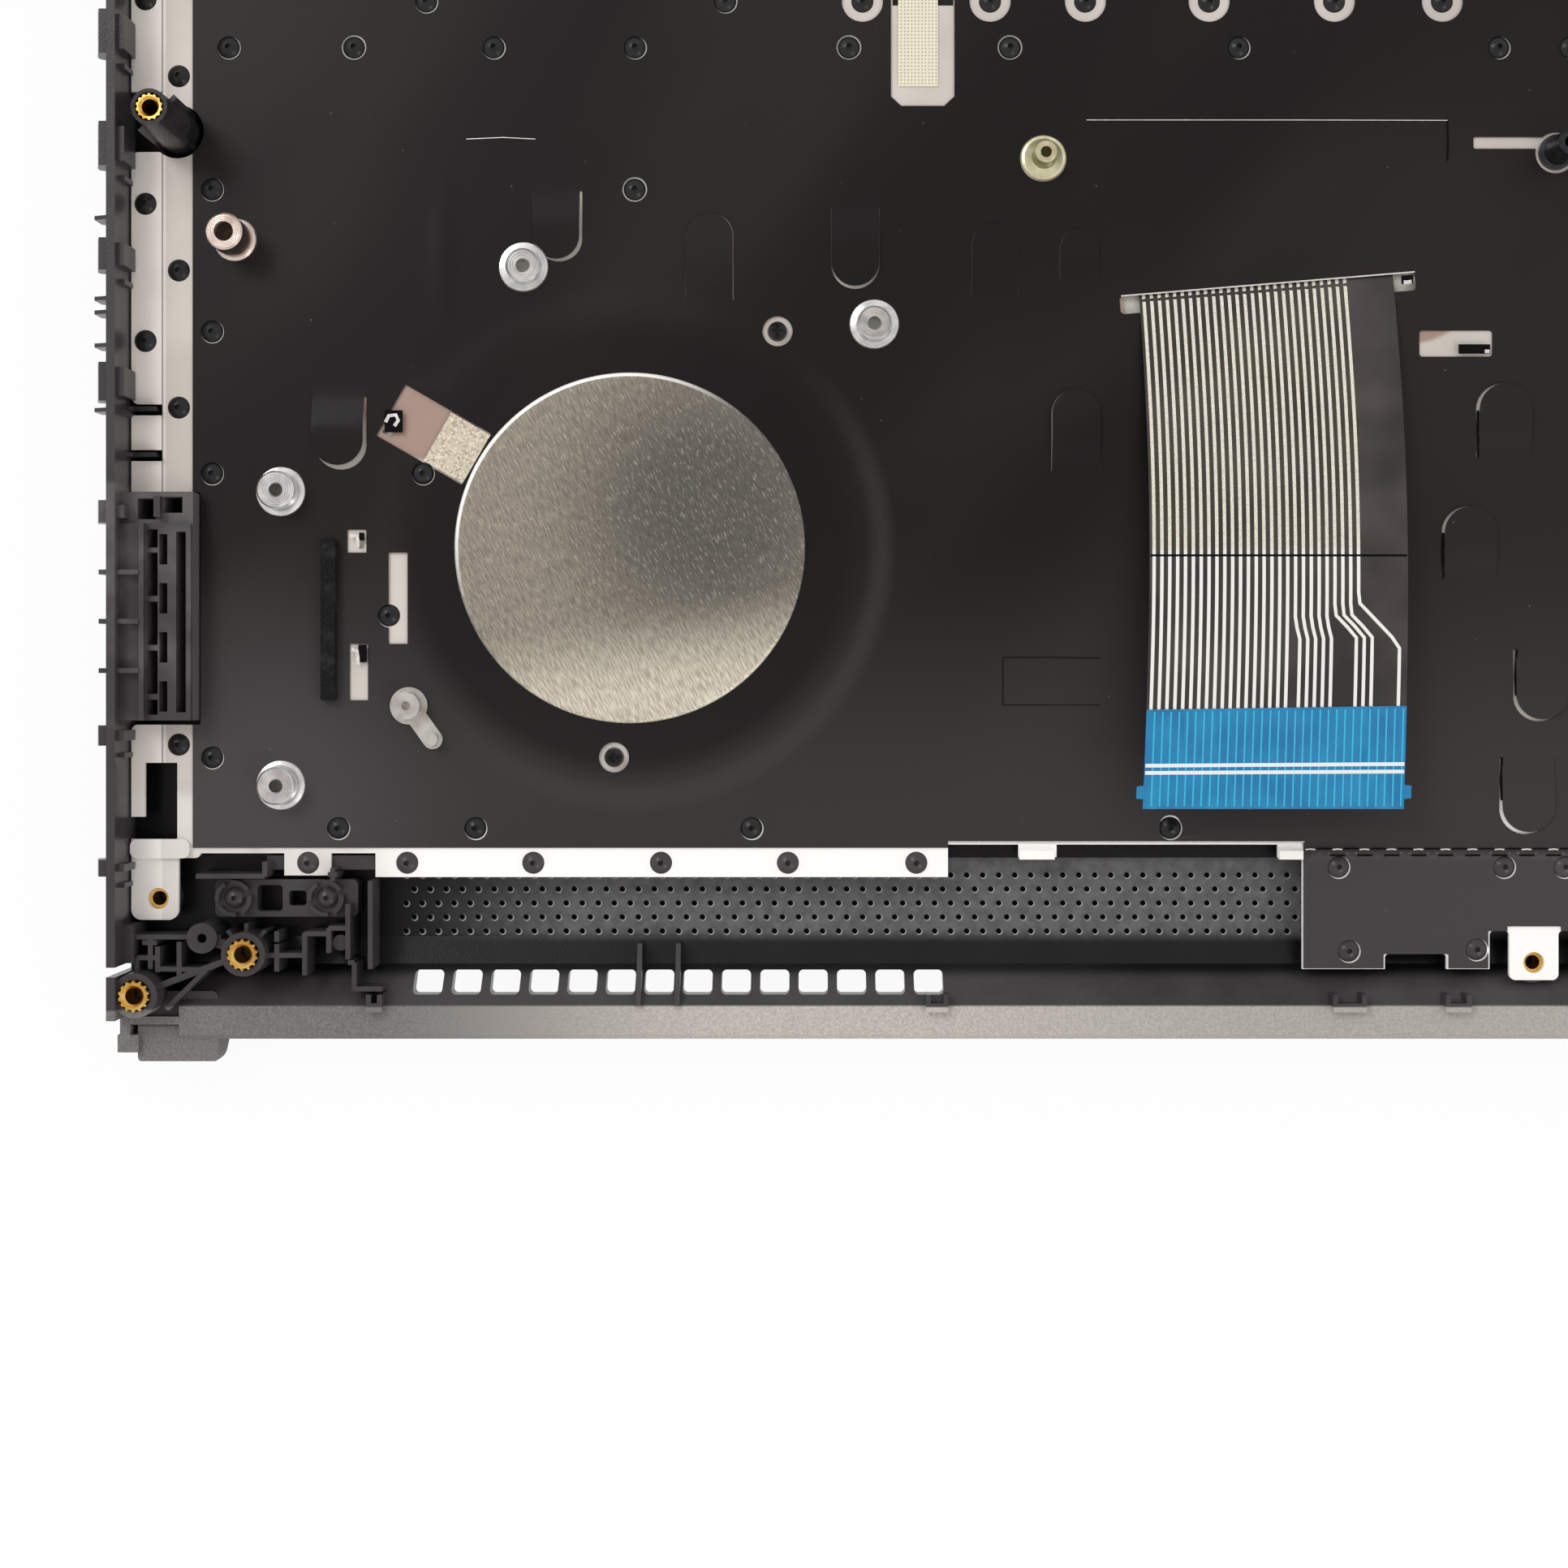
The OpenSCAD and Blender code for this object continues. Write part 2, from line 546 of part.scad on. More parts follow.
// The barrel cover behind the hinge: a quarter round that carries on the shell's outer face
module hinge_cover() {
    r = hinge_out + 2;
    intersection() {
        along_x(-side_x + 2.3, -side_x + 12.4) {
            translate([rear_y + 2, r]) circle(r);
            block(rear_y + 2, 0, rear_y + 6, 2 * r);
        }
        slab(0, lip_z + 0.8) soft_block(-side_x + 2.3, rear_y - hinge_out, -side_x + 12.4, rear_y + 6, 0.8);
    }
}

// Little forked clips on the hinge edge that hold the lid cables' foam
CLIPS = [[-side_x + 32.4, 2], [strip_end - 1.5, 2.8], [-23.8, 4.2], [-10.2, 3.2]];
module snap_clips() {
    for (c = CLIPS) slab(lip_z, lip_top + 1.2) difference() {
        block(c[0] - c[1] / 2, lip_in - 0.6, c[0] + c[1] / 2, lip_in + 1.6);
        block(c[0] - c[1] / 2 + 0.6, lip_in + 0.5, c[0] + c[1] / 2 - 0.6, lip_in + 1.7);
    }
}

// A heat stake's head: a low dome with the deep dimple that the hot tool leaves
dimple_r = 0.34;
dimple_h = 0.5;
dome_r = head_r * head_r / head_h / 2 + head_h / 2;
module stake_head() {
    rotate_extrude() difference() {
        intersection() {
            translate([0, head_h - dome_r]) circle(dome_r);
            square([head_r, head_h]);
        }
        translate([-1, head_h - dimple_h]) square([dimple_r + 1, dimple_h + 1]);
    }
}
module stakes() {
    both_sides() {
        posts([each film_stakes, each ring_stakes, each rear_stakes, each bracket_stakes, bracket_pin],
            stake_r, membrane_z - 0.4, plate_top + 0.1);
        for (p = left_stakes) translate([p[0], p[1], plate_top]) stake_head();
        posts(side_stakes, stake_r, plate_z - 0.2, plate_top + 0.1);
        posts(side_stakes, 1.5, deck_t - eps, plate_z);
        posts([each bracket_stakes, bracket_pin], 1.5, deck_t - eps, plate_z);
        slab(deck_t - eps, plate_z) block(at_u(0.28), strip_y - 0.9, at_u(5), strip_y + 0.9);
    }
}

// Tall screw bosses beside the keys, tapering, with four fins
boss_top = plate_top + boss_h;
module tall_bosses() {
    both_sides() translate([tall_boss[0], tall_boss[1], 0]) {
        translate([0, 0, deck_t - eps]) cylinder(h = boss_top - deck_t + eps, r1 = 2.9, r2 = insert_r + 0.2);
        for (a = [45 : 90 : 315]) rotate(a)
            translate([0, -0.3, deck_t - eps]) cube([3.1, 0.6, boss_top - 3.5 - deck_t]);
    }
    posts([bracket_a, [-bracket_a[0], bracket_a[1]], bracket_mid], 2.6, deck_t - eps, plate_z);
}

insert_len = 4;
boss_insert_r = 1.75;
bracket_insert_r = 1.7;
screw_r = 0.6;
module insert_bores() {
    both_sides() {
        posts([tall_boss], boss_insert_r, boss_top - insert_len, boss_top + 1);
        posts([tall_boss], 1.2, plate_top + 1, boss_top);
        posts([hinge_a], insert_r, hinge_a_z - insert_len, hinge_a_z + 1);
        posts([hinge_b], insert_r, hinge_b_z - insert_len, hinge_b_z + 1);
        posts([hinge_pin], 0.6, deck_t, plate_top + 4);
        posts([bracket_a], bracket_insert_r, deck_t, plate_z + 1);
    }
    posts([bracket_mid], bracket_insert_r, deck_t, plate_z + 1);
    posts(FRONT_BOSSES, insert_r, palm_boss_h - insert_len, palm_boss_h + 1);
    both_sides() posts(screw_places, screw_r + 0.05, web_z + 0.3, plate_top);
}

module palmrest_cover() color("#27272b") difference() {
    union() {
        deck();
        key_web();
        rear_wall();
        both_sides() {
            side_wall();
            side_hooks();
            side_comb();
            hinge_corner();
        }
        front_wall();
        palm_ribs();
        stakes();
        tall_bosses();
    }
    insert_bores();
}

// Plate: the steel sheet behind the keys, its side strips and its rear strips
fold_x = plate_x - 3.9;
plate_gaps = [at_v(2.448), at_v(2.126)];
comb_cut_y0 = comb_y0 - 0.6;
comb_cut_y1 = comb_y1 + 4.3;
module plate_side() {
    block(-plate_x, tall_boss[1] + 5, -film_x + eps, plate_front);
    block(-fold_x, tall_boss[1] - 4, -film_x + eps, tall_boss[1] + 6);
    soft_block(-plate_x, plate_gaps[0] + 0.7, -film_x + 1, tall_boss[1] - 2.6, 1);
    block(-fold_x, comb_cut_y1 - 1, -film_x + eps, plate_gaps[0] + 5);
    block(-plate_x, plate_gaps[1] + 0.7, -fold_x + 0.1, plate_gaps[0] - 0.7);
    block(-plate_x, comb_cut_y1, -fold_x + 0.1, plate_gaps[1] - 0.7);
    difference() {
        soft_block(-plate_x, film_rear - 1.3, -film_x + 1, comb_cut_y0, 0.8);
        block(-plate_x + 1.7, film_rear + 1.1, -film_x - 2, comb_cut_y0 - 4.8);
        block(-plate_x - 1, film_rear + 1.1, -plate_x + 2, film_rear + 3.9);
    }
    soft_block(-plate_x, bracket_a[1] - 2.7, -plate_x + 6, film_rear + 1.1, 1.3);
}
module plate_rear() {
    block(-plate_x + 19.3, strip_rear, -plate_x + 25.2, film_rear + 2);
    block(-plate_x + 30.8, strip_rear - 0.2, strip_end, film_rear + 2);
    block(strip_end + 8.9, film_rear - 1.2, strip_end + 13.7, film_rear + 2);
    block(-bracket_x - 3.1, film_rear - 1.2, -bracket_x + 0.2, film_rear + 2);
}

// Folded edges that stand up from the plate: a hem over the side tab and two rear catches
module plate_hems() {
    slab(plate_top - eps, plate_top + 0.6)
        soft_block(-plate_x, film_rear - 1.3, -film_x - 0.3, film_rear + 1.1, 0.9);
    for (x = [[strip_end + 9, strip_end + 13.4], [-bracket_x - 3, -bracket_x]]) along_x(x[0], x[1])
        translate([film_rear - 0.9, plate_top]) square([1.1, 1.2], center = true);
}
bracket_rear = rear_bar_y - 17.8;
tab_hw = 3.1;
module plate_bracket() {
    difference() {
        block(-bracket_x, bracket_rear, bracket_x, film_rear + 2);
        both_sides() {
            soft_block(-18.8, bracket_rear - 1, -11, bracket_rear + 1.9, 0.5);
            soft_block(-5.6, bracket_rear - 1, -tab_hw, bracket_rear + 4.8, 0.5);
        }
        for (x = [-26.5 : 3.4 : 26.5]) {
            soft_block(x - 1.1, film_rear - 0.2, x + 1.1, film_rear + 0.3, 0.2);
            soft_block(x + 0.6, film_rear - 1, x + 2.8, film_rear - 0.5, 0.2);
        }
    }
    soft_block(-tab_hw, bracket_mid[1] - 2.2, tab_hw, bracket_mid[1] + 4.5, 0.8);
}

slot_tilt = 4.7;
slot_w_x = ribbon_w + 5.2;
ribbon_x = at_u(7.376);
ribbon_y0 = at_v(3.458);
module ribbon_slot(more) {
    translate([ribbon_x, ribbon_y0]) rotate(slot_tilt)
        block(-slot_w_x / 2 - more, -6.9 - more, slot_w_x / 2 + more, 0.4 + more);
}

module keyboard_plate() color("#c9c6c0") {
    plate_sheet();
    both_sides() plate_hems();
}
module plate_sheet() slab(plate_z, plate_top) difference() {
    union() {
        block(-film_x, inner_rear, film_x, plate_front);
        both_sides() {
            block(-film_x, film_rear - 0.7, strip_end, inner_rear + 1);
            plate_side();
            plate_rear();
        }
        plate_bracket();
    }
    both_sides() {
        dots(left_stakes, stake_r + stake_gap);
        dots(screw_places, 0.7 + stake_gap);
        translate(tall_boss) circle(boss_clear);
        translate(bracket_a) circle(tab_hole_r);
        block(-plate_x - 1, comb_cut_y0, -comb_in + 0.2, comb_cut_y1);
    }
    translate(bracket_mid) circle(tab_hole_r);
    dots(flange_places, flange_shaft_r + stake_gap);
    dots([tall_place, brass_place, post_place, locate_place], shaft_r + stake_gap);
    ribbon_slot(0);
    block(window_x - 3.8, ring_y - 0.5, window_x + 3.9, ring_y + 0.8);
    disc_frame() block(33, 1.3, 34.4, 3);
    translate(gasket_place) {
        block(3.6, 9, 4.3, 10.2);
        block(3.8, -5.4, 4.5, -4);
    }
}

// Film: insulating sheet on the plate, cut out round everything that comes through
module disc_frame() { translate(disc_place) rotate(150) children(); }
module film_windows() {
    dots(flange_places, flange_r + film_gap);
    dots([tall_place, brass_place], base_r + film_gap);
    translate(post_place) circle(post_r + 0.5);
    soft_block(post_place[0] - 10.4, post_place[1], post_place[0], post_place[1] + 2.4, 0.3);
    dots([locate_place], 2.1);
    ribbon_slot(0.2);
    soft_block(window_x - 4, front_bar_y - 7.4, window_x + 4, plate_front + 3, 1.4);
    disc_frame() block(disc_d / 2 - 0.1, -3.7, disc_d / 2 + 12.7, 3.7);
    translate(gasket_place) {
        block(2.2, 8.45, 4.6, 11.35);
        block(7.4, -3.05, 9.8, 8.45);
        block(2.5, -10.15, 4.8, -3.05);
    }
    translate(at(8.708, 2.913)) soft_block(-4.6, -1.65, 4.6, 1.65, 0.4);
    translate([at_u(REAR_STAKES[3]), rear_bar_y]) soft_block(-1.3, -1.2, 1.3, 1.6, 1.2);
}
bracket_film_x = bracket_x - 0.1;
module insulating_film() color("#2b2727") slab(plate_top, film_top) difference() {
    union() {
        block(-film_x, film_rear, film_x, film_front);
        block(-bracket_film_x, bracket_rear + 0.1, bracket_film_x, film_rear + eps);
    }
    both_sides() {
        dots([each film_stakes, each bracket_stakes, bracket_pin], head_r + 0.15);
        dots(ring_stakes, 2.6);
        dots(screw_places, 1.9);
        translate(tall_boss) circle(boss_clear);
        block(-film_x - 1, comb_cut_y0, -comb_in + 0.2, comb_cut_y1);
        block(strip_end, film_rear - 1, -bracket_film_x, inner_rear + 0.3);
        block(-tab_hw - 0.3, bracket_rear - 1, eps, bracket_mid[1] + 4.8);
        block(-5.8, bracket_rear - 1, -tab_hw + eps, bracket_rear + 5);
        block(-19, bracket_rear - 1, -10.8, bracket_rear + 2.1);
        for (x = [0 : 3.4 : 26]) soft_block(x + 0.7, film_rear - 0.9, x + 2.7, film_rear - 0.6, 0.1);
    }
    film_windows();
}

module membrane_sheet() color("#d8d8d0") slab(membrane_z, plate_z) difference() {
    block(-field_x - 0.6, rear_bar_y + 0.9, field_x + 0.6, front_bar_y - 0.9);
    both_sides() {
        dots(inner_stakes, stake_r + 2 * stake_gap);
        dots(screw_places, 0.7 + 2 * stake_gap);
    }
}

// Keys: a cap with a stepped rim, a hollow back, four clips and a plunger
function cap_size(cell) = cell - bar_w - 2 * cap_gap;
module keycap(key) {
    w = cap_size(key[2]);
    d = cap_size(key[3]);
    inner_w = w / 2 - 1;
    inner_d = d / 2 - 1;
    clip_x = min(inner_w - 1.2, 5.6);
    translate([key[0], key[1], key_sink]) {
        difference() {
            union() {
                slab(0, 0.5 + eps) soft_block(-w / 2 + 0.5, -d / 2 + 0.5, w / 2 - 0.5, d / 2 - 0.5, 1.2);
                slab(0.5, cap_h) soft_block(-w / 2, -d / 2, w / 2, d / 2, 0.9);
            }
            slab(cap_t, cap_h + 1) block(-inner_w, -inner_d, inner_w, inner_d);
        }
        slab(cap_t - eps, cap_h - 0.3) for (x = [-clip_x, clip_x]) for (y = [-inner_d, inner_d])
            block(x - 0.6, y - 0.4, x + 0.6, y + 0.4);
        posts([[0, 0]], min(1.6, inner_d - 1), cap_t - eps, cap_t + 0.4);
    }
}
row_counts = [for (r = ROW_UNITS) len(r)];
module named_key(i) color("#3a3a3e") keycap(MAIN_KEYS[sum_to(row_counts, NAMED[i][0]) + NAMED[i][1]]);
module fixed_keys() color("#3a3a3e") for (k = ALL_KEYS) if (!k[4]) keycap(k);

// Rubber domes: one under each key, from the membrane to the plunger
dome_top = key_sink + cap_t + 0.4 + 0.15;
module dome(r) {
    stem = min(1.3, r - 0.3);
    translate([0, 0, dome_top]) rotate_extrude($fn = 24) polygon([[0, 0], [stem, 0], [stem, 0.8],
        [r - 0.3, membrane_z - dome_top - 0.5], [r, membrane_z - dome_top - 0.4], [r, membrane_z - dome_top],
        [r - 0.7, membrane_z - dome_top], [stem - 0.2, 1.5], [0, 1.5]]);
}
module rubber_domes() color("#e8e4dc") for (k = ALL_KEYS)
    translate([k[0], k[1], 0]) dome(min(2.7, link_d(k) / 2 - link_w - dome_gap));

// Scissor links: two frames that cross, between the plate side and the cap's clips
link_t = 0.6;
link_w = 0.8;
dome_gap = 0.2;
function link_d(key) = min(cap_size(key[3]) - 2.9, 9.6);
module link_frame(w, d, tilt) {
    rotate([0, tilt, 0]) translate([0, 0, -link_t / 2]) linear_extrude(link_t) difference() {
        square([w, d], center = true);
        square([w - 2 * link_w, d - 2 * link_w], center = true);
    }
}
module scissor(w, d) {
    lo = key_sink + cap_t + 0.15;
    rise = membrane_z - lo - link_t - 0.3;
    tilt = asin(rise / w);
    translate([0, 0, (lo + membrane_z) / 2]) {
        link_frame(w, d, tilt);
        if (d > 8) link_frame(w, d - 2.2, -tilt);
    }
}
module scissor_links() color("#e6e6e6") for (k = ALL_KEYS) {
    w = cap_size(k[2]);
    pair = w > 30 ? w / 4 : 0;
    for (s = pair > 0 ? [-1, 1] : [0]) translate([k[0] + s * pair, k[1], 0])
        scissor(min(w - 4.6, 10.4), link_d(k));
}

// Ribbon: the membrane's printed tail, rising from its slot to the free end
ribbon_steps = 20;
ribbon_arch = 0.8;
tail_z0 = plate_z + ribbon_t / 2 + 0.05;
function tail_rise(t) = ribbon_rise * t + ribbon_arch * sin(180 * t);
function tail_z(s) = tail_z0 + tail_rise(max(s, 0) / ribbon_len);
module tail_profile(s0, s1, lift, t) {
    ss = [for (i = [0 : ribbon_steps]) s0 + (s1 - s0) * i / ribbon_steps];
    polygon([for (s = ss) [ribbon_y0 - s, tail_z(s) + lift],
        for (i = [ribbon_steps : -1 : 0]) [ribbon_y0 - ss[i], tail_z(ss[i]) + lift + t]]);
}
ribbon_end = ribbon_y0 - ribbon_len;
ribbon_x0 = ribbon_x - ribbon_w / 2;
ribbon_x1 = ribbon_x + ribbon_w / 2;
ribbon_shift = 0.8;
ear_w = 0.7;
module ribbon_cable() color("#1f1d1f") intersection() {
    along_x(ribbon_x0 - 2, ribbon_x1 + 2) tail_profile(-2, ribbon_len, -ribbon_t / 2, ribbon_t);
    slab(0, 20) polygon([[ribbon_x0, ribbon_y0 - 1.3], [ribbon_x0 - ribbon_shift, ribbon_end],
        [ribbon_x1 - ribbon_shift, ribbon_end], [ribbon_x1, ribbon_y0 + 1.3]]);
}
module ribbon_stiffener() color("#2f7fb0") intersection() {
    along_x(ribbon_x0 - 2, ribbon_x1 + 2)
        tail_profile(ribbon_len - stiff_len, ribbon_len + 0.1, ribbon_t / 2, 0.15);
    slab(0, 20) translate([-ribbon_shift, ribbon_end]) {
        block(ribbon_x0, -0.1, ribbon_x1, stiff_len);
        soft_block(ribbon_x0 - ear_w, 1.2, ribbon_x1 + ear_w, 2.8, 0.3);
    }
}

// Shield disc, glued on the film, and the tape that earths it to the plate
module shield_disc() color("#b7b2a4") translate([disc_place[0], disc_place[1], film_top])
    cylinder(h = disc_t, d = disc_d, $fn = 96);
module disc_earth_tape() color("#d8d5cc") disc_frame() {
    slab(film_top, film_top + 0.15) difference() {
        block(disc_d / 2 - 1.6, -3.5, disc_d / 2 + 5.9, 3.5);
        circle(disc_d / 2 + 0.1);
    }
}
module earth_cloth_strip() color("#d9d2bc") slab(plate_top, plate_top + 0.2)
    block(window_x - 3.1, front_bar_y - 4.9, window_x + 1.9, plate_front);

// Hardware on the plate: turned standoffs, riveted through it
shaft_r = 1.5;
flange_shaft_r = 1.3;
flange_r = 3.05;
base_r = 2.75;
post_r = 2.2;
film_gap = 0.15;
module standoff(outline) { rotate_extrude() polygon(outline); }
module flange_standoff(r, h) {
    standoff([[flange_hole_r, plate_z], [flange_shaft_r, plate_z], [flange_shaft_r, plate_top],
        [flange_r, plate_top], [flange_r, plate_top + 0.35], [r + 0.2, plate_top + 0.55],
        [r, plate_top + 0.55], [r, plate_top + h - 0.2], [r - 0.2, plate_top + h],
        [flange_hole_r + 0.15, plate_top + h], [flange_hole_r, plate_top + h - 0.15]]);
}
module flange_standoffs() color("#cfd3d6") {
    for (p = short_places) translate([p[0], p[1], 0]) flange_standoff(2.1, flange_h);
    for (p = wide_places) translate([p[0], p[1], 0]) flange_standoff(2.35, wide_h);
}
module tall_standoff() color("#c8bdb6") translate([tall_place[0], tall_place[1], 0])
    standoff([[1.05, plate_z], [shaft_r, plate_z], [shaft_r, plate_top], [base_r - 0.1, plate_top],
        [base_r - 0.1, plate_top + 0.6], [2.3, plate_top + 0.8], [2.3, plate_top + tall_h - 0.2],
        [2.1, plate_top + tall_h], [1.2, plate_top + tall_h], [1.05, plate_top + tall_h - 0.3]]);
module brass_standoff() color("#c9cf7a") translate([brass_place[0], brass_place[1], 0])
    standoff([[0.7, plate_z], [shaft_r, plate_z], [shaft_r, plate_top], [base_r, plate_top],
        [base_r, plate_top + 0.5], [2.4, plate_top + 0.6], [1.6, plate_top + 1.4],
        [1.35, plate_top + 3.7], [0.7, plate_top + 3.7]]);
module black_post() color("#1c1c1f") translate([post_place[0], post_place[1], 0])
    standoff([[0.8, plate_z], [shaft_r, plate_z], [shaft_r, plate_top], [post_r, plate_top],
        [post_r, plate_top + 0.8], [1.8, plate_top + 1.2], [1.6, plate_top + 6], [0.8, plate_top + 6]]);
module locating_plate() color("#d2d2d0") {
    slab(film_top, film_top + 0.5) {
        translate(locate_place) circle(2.35);
        translate(locate_pin) circle(1.25);
        bar(locate_place, locate_pin, 2.5);
    }
    translate([locate_place[0], locate_place[1], 0])
        standoff([[0.55, plate_z], [shaft_r, plate_z], [shaft_r, film_top + 0.4], [1.85, film_top + 0.4],
            [1.7, film_top + 2.4], [0.55, film_top + 2.4]]);
    translate([locate_pin[0], locate_pin[1], film_top + 0.4]) cylinder(h = 1.4, r1 = 0.9, r2 = 0.85);
}

// Brass inserts, pressed into the cover's bosses
module insert(p, r, hole, z1, len) {
    translate([p[0], p[1], z1 - len]) difference() {
        union() {
            cylinder(h = len * 0.4, r = r - 0.03);
            cylinder(h = len, r = r - 0.25);
            translate([0, 0, len * 0.6]) cylinder(h = len * 0.4, r = r - 0.03);
        }
        translate([0, 0, -1]) cylinder(h = len + 2, r = hole);
    }
}
module boss_inserts() color("#c9a24b") {
    for (s = [-1, 1])
        insert([s * tall_boss[0], tall_boss[1]], boss_insert_r, 1, boss_top, insert_len - 0.1);
    for (p = FRONT_BOSSES) insert(p, insert_r, insert_hole_r, palm_boss_h, insert_len - 0.1);
}
module hinge_inserts() color("#c9a24b") for (s = [-1, 1]) {
    insert([s * hinge_a[0], hinge_a[1]], insert_r, insert_hole_r, hinge_a_z, insert_len - 0.1);
    insert([s * hinge_b[0], hinge_b[1]], insert_r, insert_hole_r, hinge_b_z, insert_len - 0.1);
}
tab_hole_r = 1.33;
module bracket_inserts() color("#c9a24b")
    for (p = [bracket_a, [-bracket_a[0], bracket_a[1]], bracket_mid])
        insert(p, bracket_insert_r, 0.9, plate_z - 0.05, 3);

module gasket_strip() color("#161616") slab(film_top, film_top + 1.4)
    translate(gasket_place) soft_block(-gasket_w / 2, -gasket_l / 2, gasket_w / 2, gasket_l / 2, 0.3);

// Screws that hold the plate to the web, with a crossed recess
module plate_screw() difference() {
    union() {
        translate([0, 0, web_z + 0.4]) cylinder(h = plate_top - web_z, r = screw_r);
        translate([0, 0, plate_top]) cylinder(h = 0.8, r1 = 1.25, r2 = 1.1);
    }
    for (a = [0, 90]) translate([0, 0, plate_top + 0.7]) rotate(a) cube([1.2, 0.3, 0.6], center = true);
}
module plate_screws() color("#1d1d20") for (s = [-1, 1]) for (p = screw_places)
    translate([s * p[0], p[1], 0]) plate_screw();

palmrest_cover();
keyboard_plate();
insulating_film();
membrane_sheet();
rubber_domes();
scissor_links();
ribbon_cable();
ribbon_stiffener();
shield_disc();
disc_earth_tape();
earth_cloth_strip();
flange_standoffs();
tall_standoff();
brass_standoff();
black_post();
locating_plate();
boss_inserts();
hinge_inserts();
bracket_inserts();
gasket_strip();
plate_screws();
fixed_keys();
named_key(0);  // key_esc
named_key(1);  // key_backspace
named_key(2);  // key_tab
named_key(3);  // key_enter
named_key(4);  // key_shift_left
named_key(5);  // key_space
named_key(6);  // key_q
named_key(7);  // key_w
named_key(8);  // key_e
named_key(9);  // key_r
named_key(10);  // key_t
named_key(11);  // key_y
named_key(12);  // key_u
named_key(13);  // key_i
named_key(14);  // key_o
named_key(15);  // key_p
named_key(16);  // key_a
named_key(17);  // key_s
named_key(18);  // key_d
named_key(19);  // key_f
named_key(20);  // key_g
named_key(21);  // key_h
named_key(22);  // key_j
named_key(23);  // key_k
named_key(24);  // key_l
named_key(25);  // key_z
named_key(26);  // key_x
named_key(27);  // key_c
named_key(28);  // key_v
named_key(29);  // key_b
named_key(30);  // key_n
named_key(31);  // key_m
named_key(32);  // key_up
named_key(33);  // key_left
named_key(34);  // key_down
named_key(35);  // key_right
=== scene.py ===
"""Looks of a laptop's upper case with its keyboard, lying keys down on a pale floor.

The inner side looks up (+Z), the hinge edge is at -Y and the left side at -X, as in the photo.
Shapes are worked out in millimetres and put into their meshes in metres.
"""
import json
import math

import bpy
import numpy as np
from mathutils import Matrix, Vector
from mathutils.geometry import delaunay_2d_cdt


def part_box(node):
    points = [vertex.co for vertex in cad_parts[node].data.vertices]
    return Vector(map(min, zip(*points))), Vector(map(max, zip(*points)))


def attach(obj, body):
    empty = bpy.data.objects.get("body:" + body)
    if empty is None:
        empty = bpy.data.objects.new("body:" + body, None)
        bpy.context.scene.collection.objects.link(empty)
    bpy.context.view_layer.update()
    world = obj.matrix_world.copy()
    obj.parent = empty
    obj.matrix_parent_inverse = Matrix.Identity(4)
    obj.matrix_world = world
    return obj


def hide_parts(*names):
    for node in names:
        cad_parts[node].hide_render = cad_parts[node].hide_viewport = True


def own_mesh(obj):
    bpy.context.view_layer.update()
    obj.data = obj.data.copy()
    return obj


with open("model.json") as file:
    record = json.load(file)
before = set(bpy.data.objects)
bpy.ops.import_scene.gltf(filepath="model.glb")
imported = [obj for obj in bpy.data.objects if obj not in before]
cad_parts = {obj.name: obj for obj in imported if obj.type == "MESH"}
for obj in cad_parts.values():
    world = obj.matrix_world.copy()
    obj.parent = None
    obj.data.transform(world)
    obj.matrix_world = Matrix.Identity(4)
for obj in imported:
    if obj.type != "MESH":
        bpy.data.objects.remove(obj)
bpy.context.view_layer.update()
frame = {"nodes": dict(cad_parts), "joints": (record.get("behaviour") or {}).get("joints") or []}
MM = 0.001
TAU = 2 * math.pi
scene = bpy.context.scene
scene.view_settings.view_transform = "Standard"


# ---------------------------------------------------------------- camera
def place_camera():
    """Straight down from 280 mm above the film, off the picture's middle as in the photo."""
    lens = bpy.data.cameras.new("view")
    lens.sensor_width = 36
    lens.lens = 50.97
    lens.shift_x = -0.0176
    lens.shift_y = -0.060
    lens.clip_start = 0.01
    camera = bpy.data.objects.new("camera", lens)
    camera.location = (-0.0911, -0.0841, 0.2858)
    scene.collection.objects.link(camera)
    scene.camera = camera


place_camera()


# ---------------------------------------------------------------- shader maths
class Wire:
    """One output socket of a material. Python's operators on it add Math nodes."""

    def __init__(self, shade, socket):
        self.shade = shade
        self.socket = socket

    def math(self, operation, *values):
        return self.shade.node("ShaderNodeMath", {"operation": operation}, dict(enumerate((self, *values))))

    def __add__(self, other):
        return self.math("ADD", other)

    def __mul__(self, other):
        return self.math("MULTIPLY", other)

    def __sub__(self, other):
        return self.math("SUBTRACT", other)

    def __truediv__(self, other):
        return self.math("DIVIDE", other)

    def within(self, low, high):
        """0 at low, 1 at high, smooth between; low may be above high."""
        return self.shade.node(
            "ShaderNodeMapRange",
            {"interpolation_type": "SMOOTHSTEP"},
            {"Value": self, "From Min": low, "From Max": high},
        )


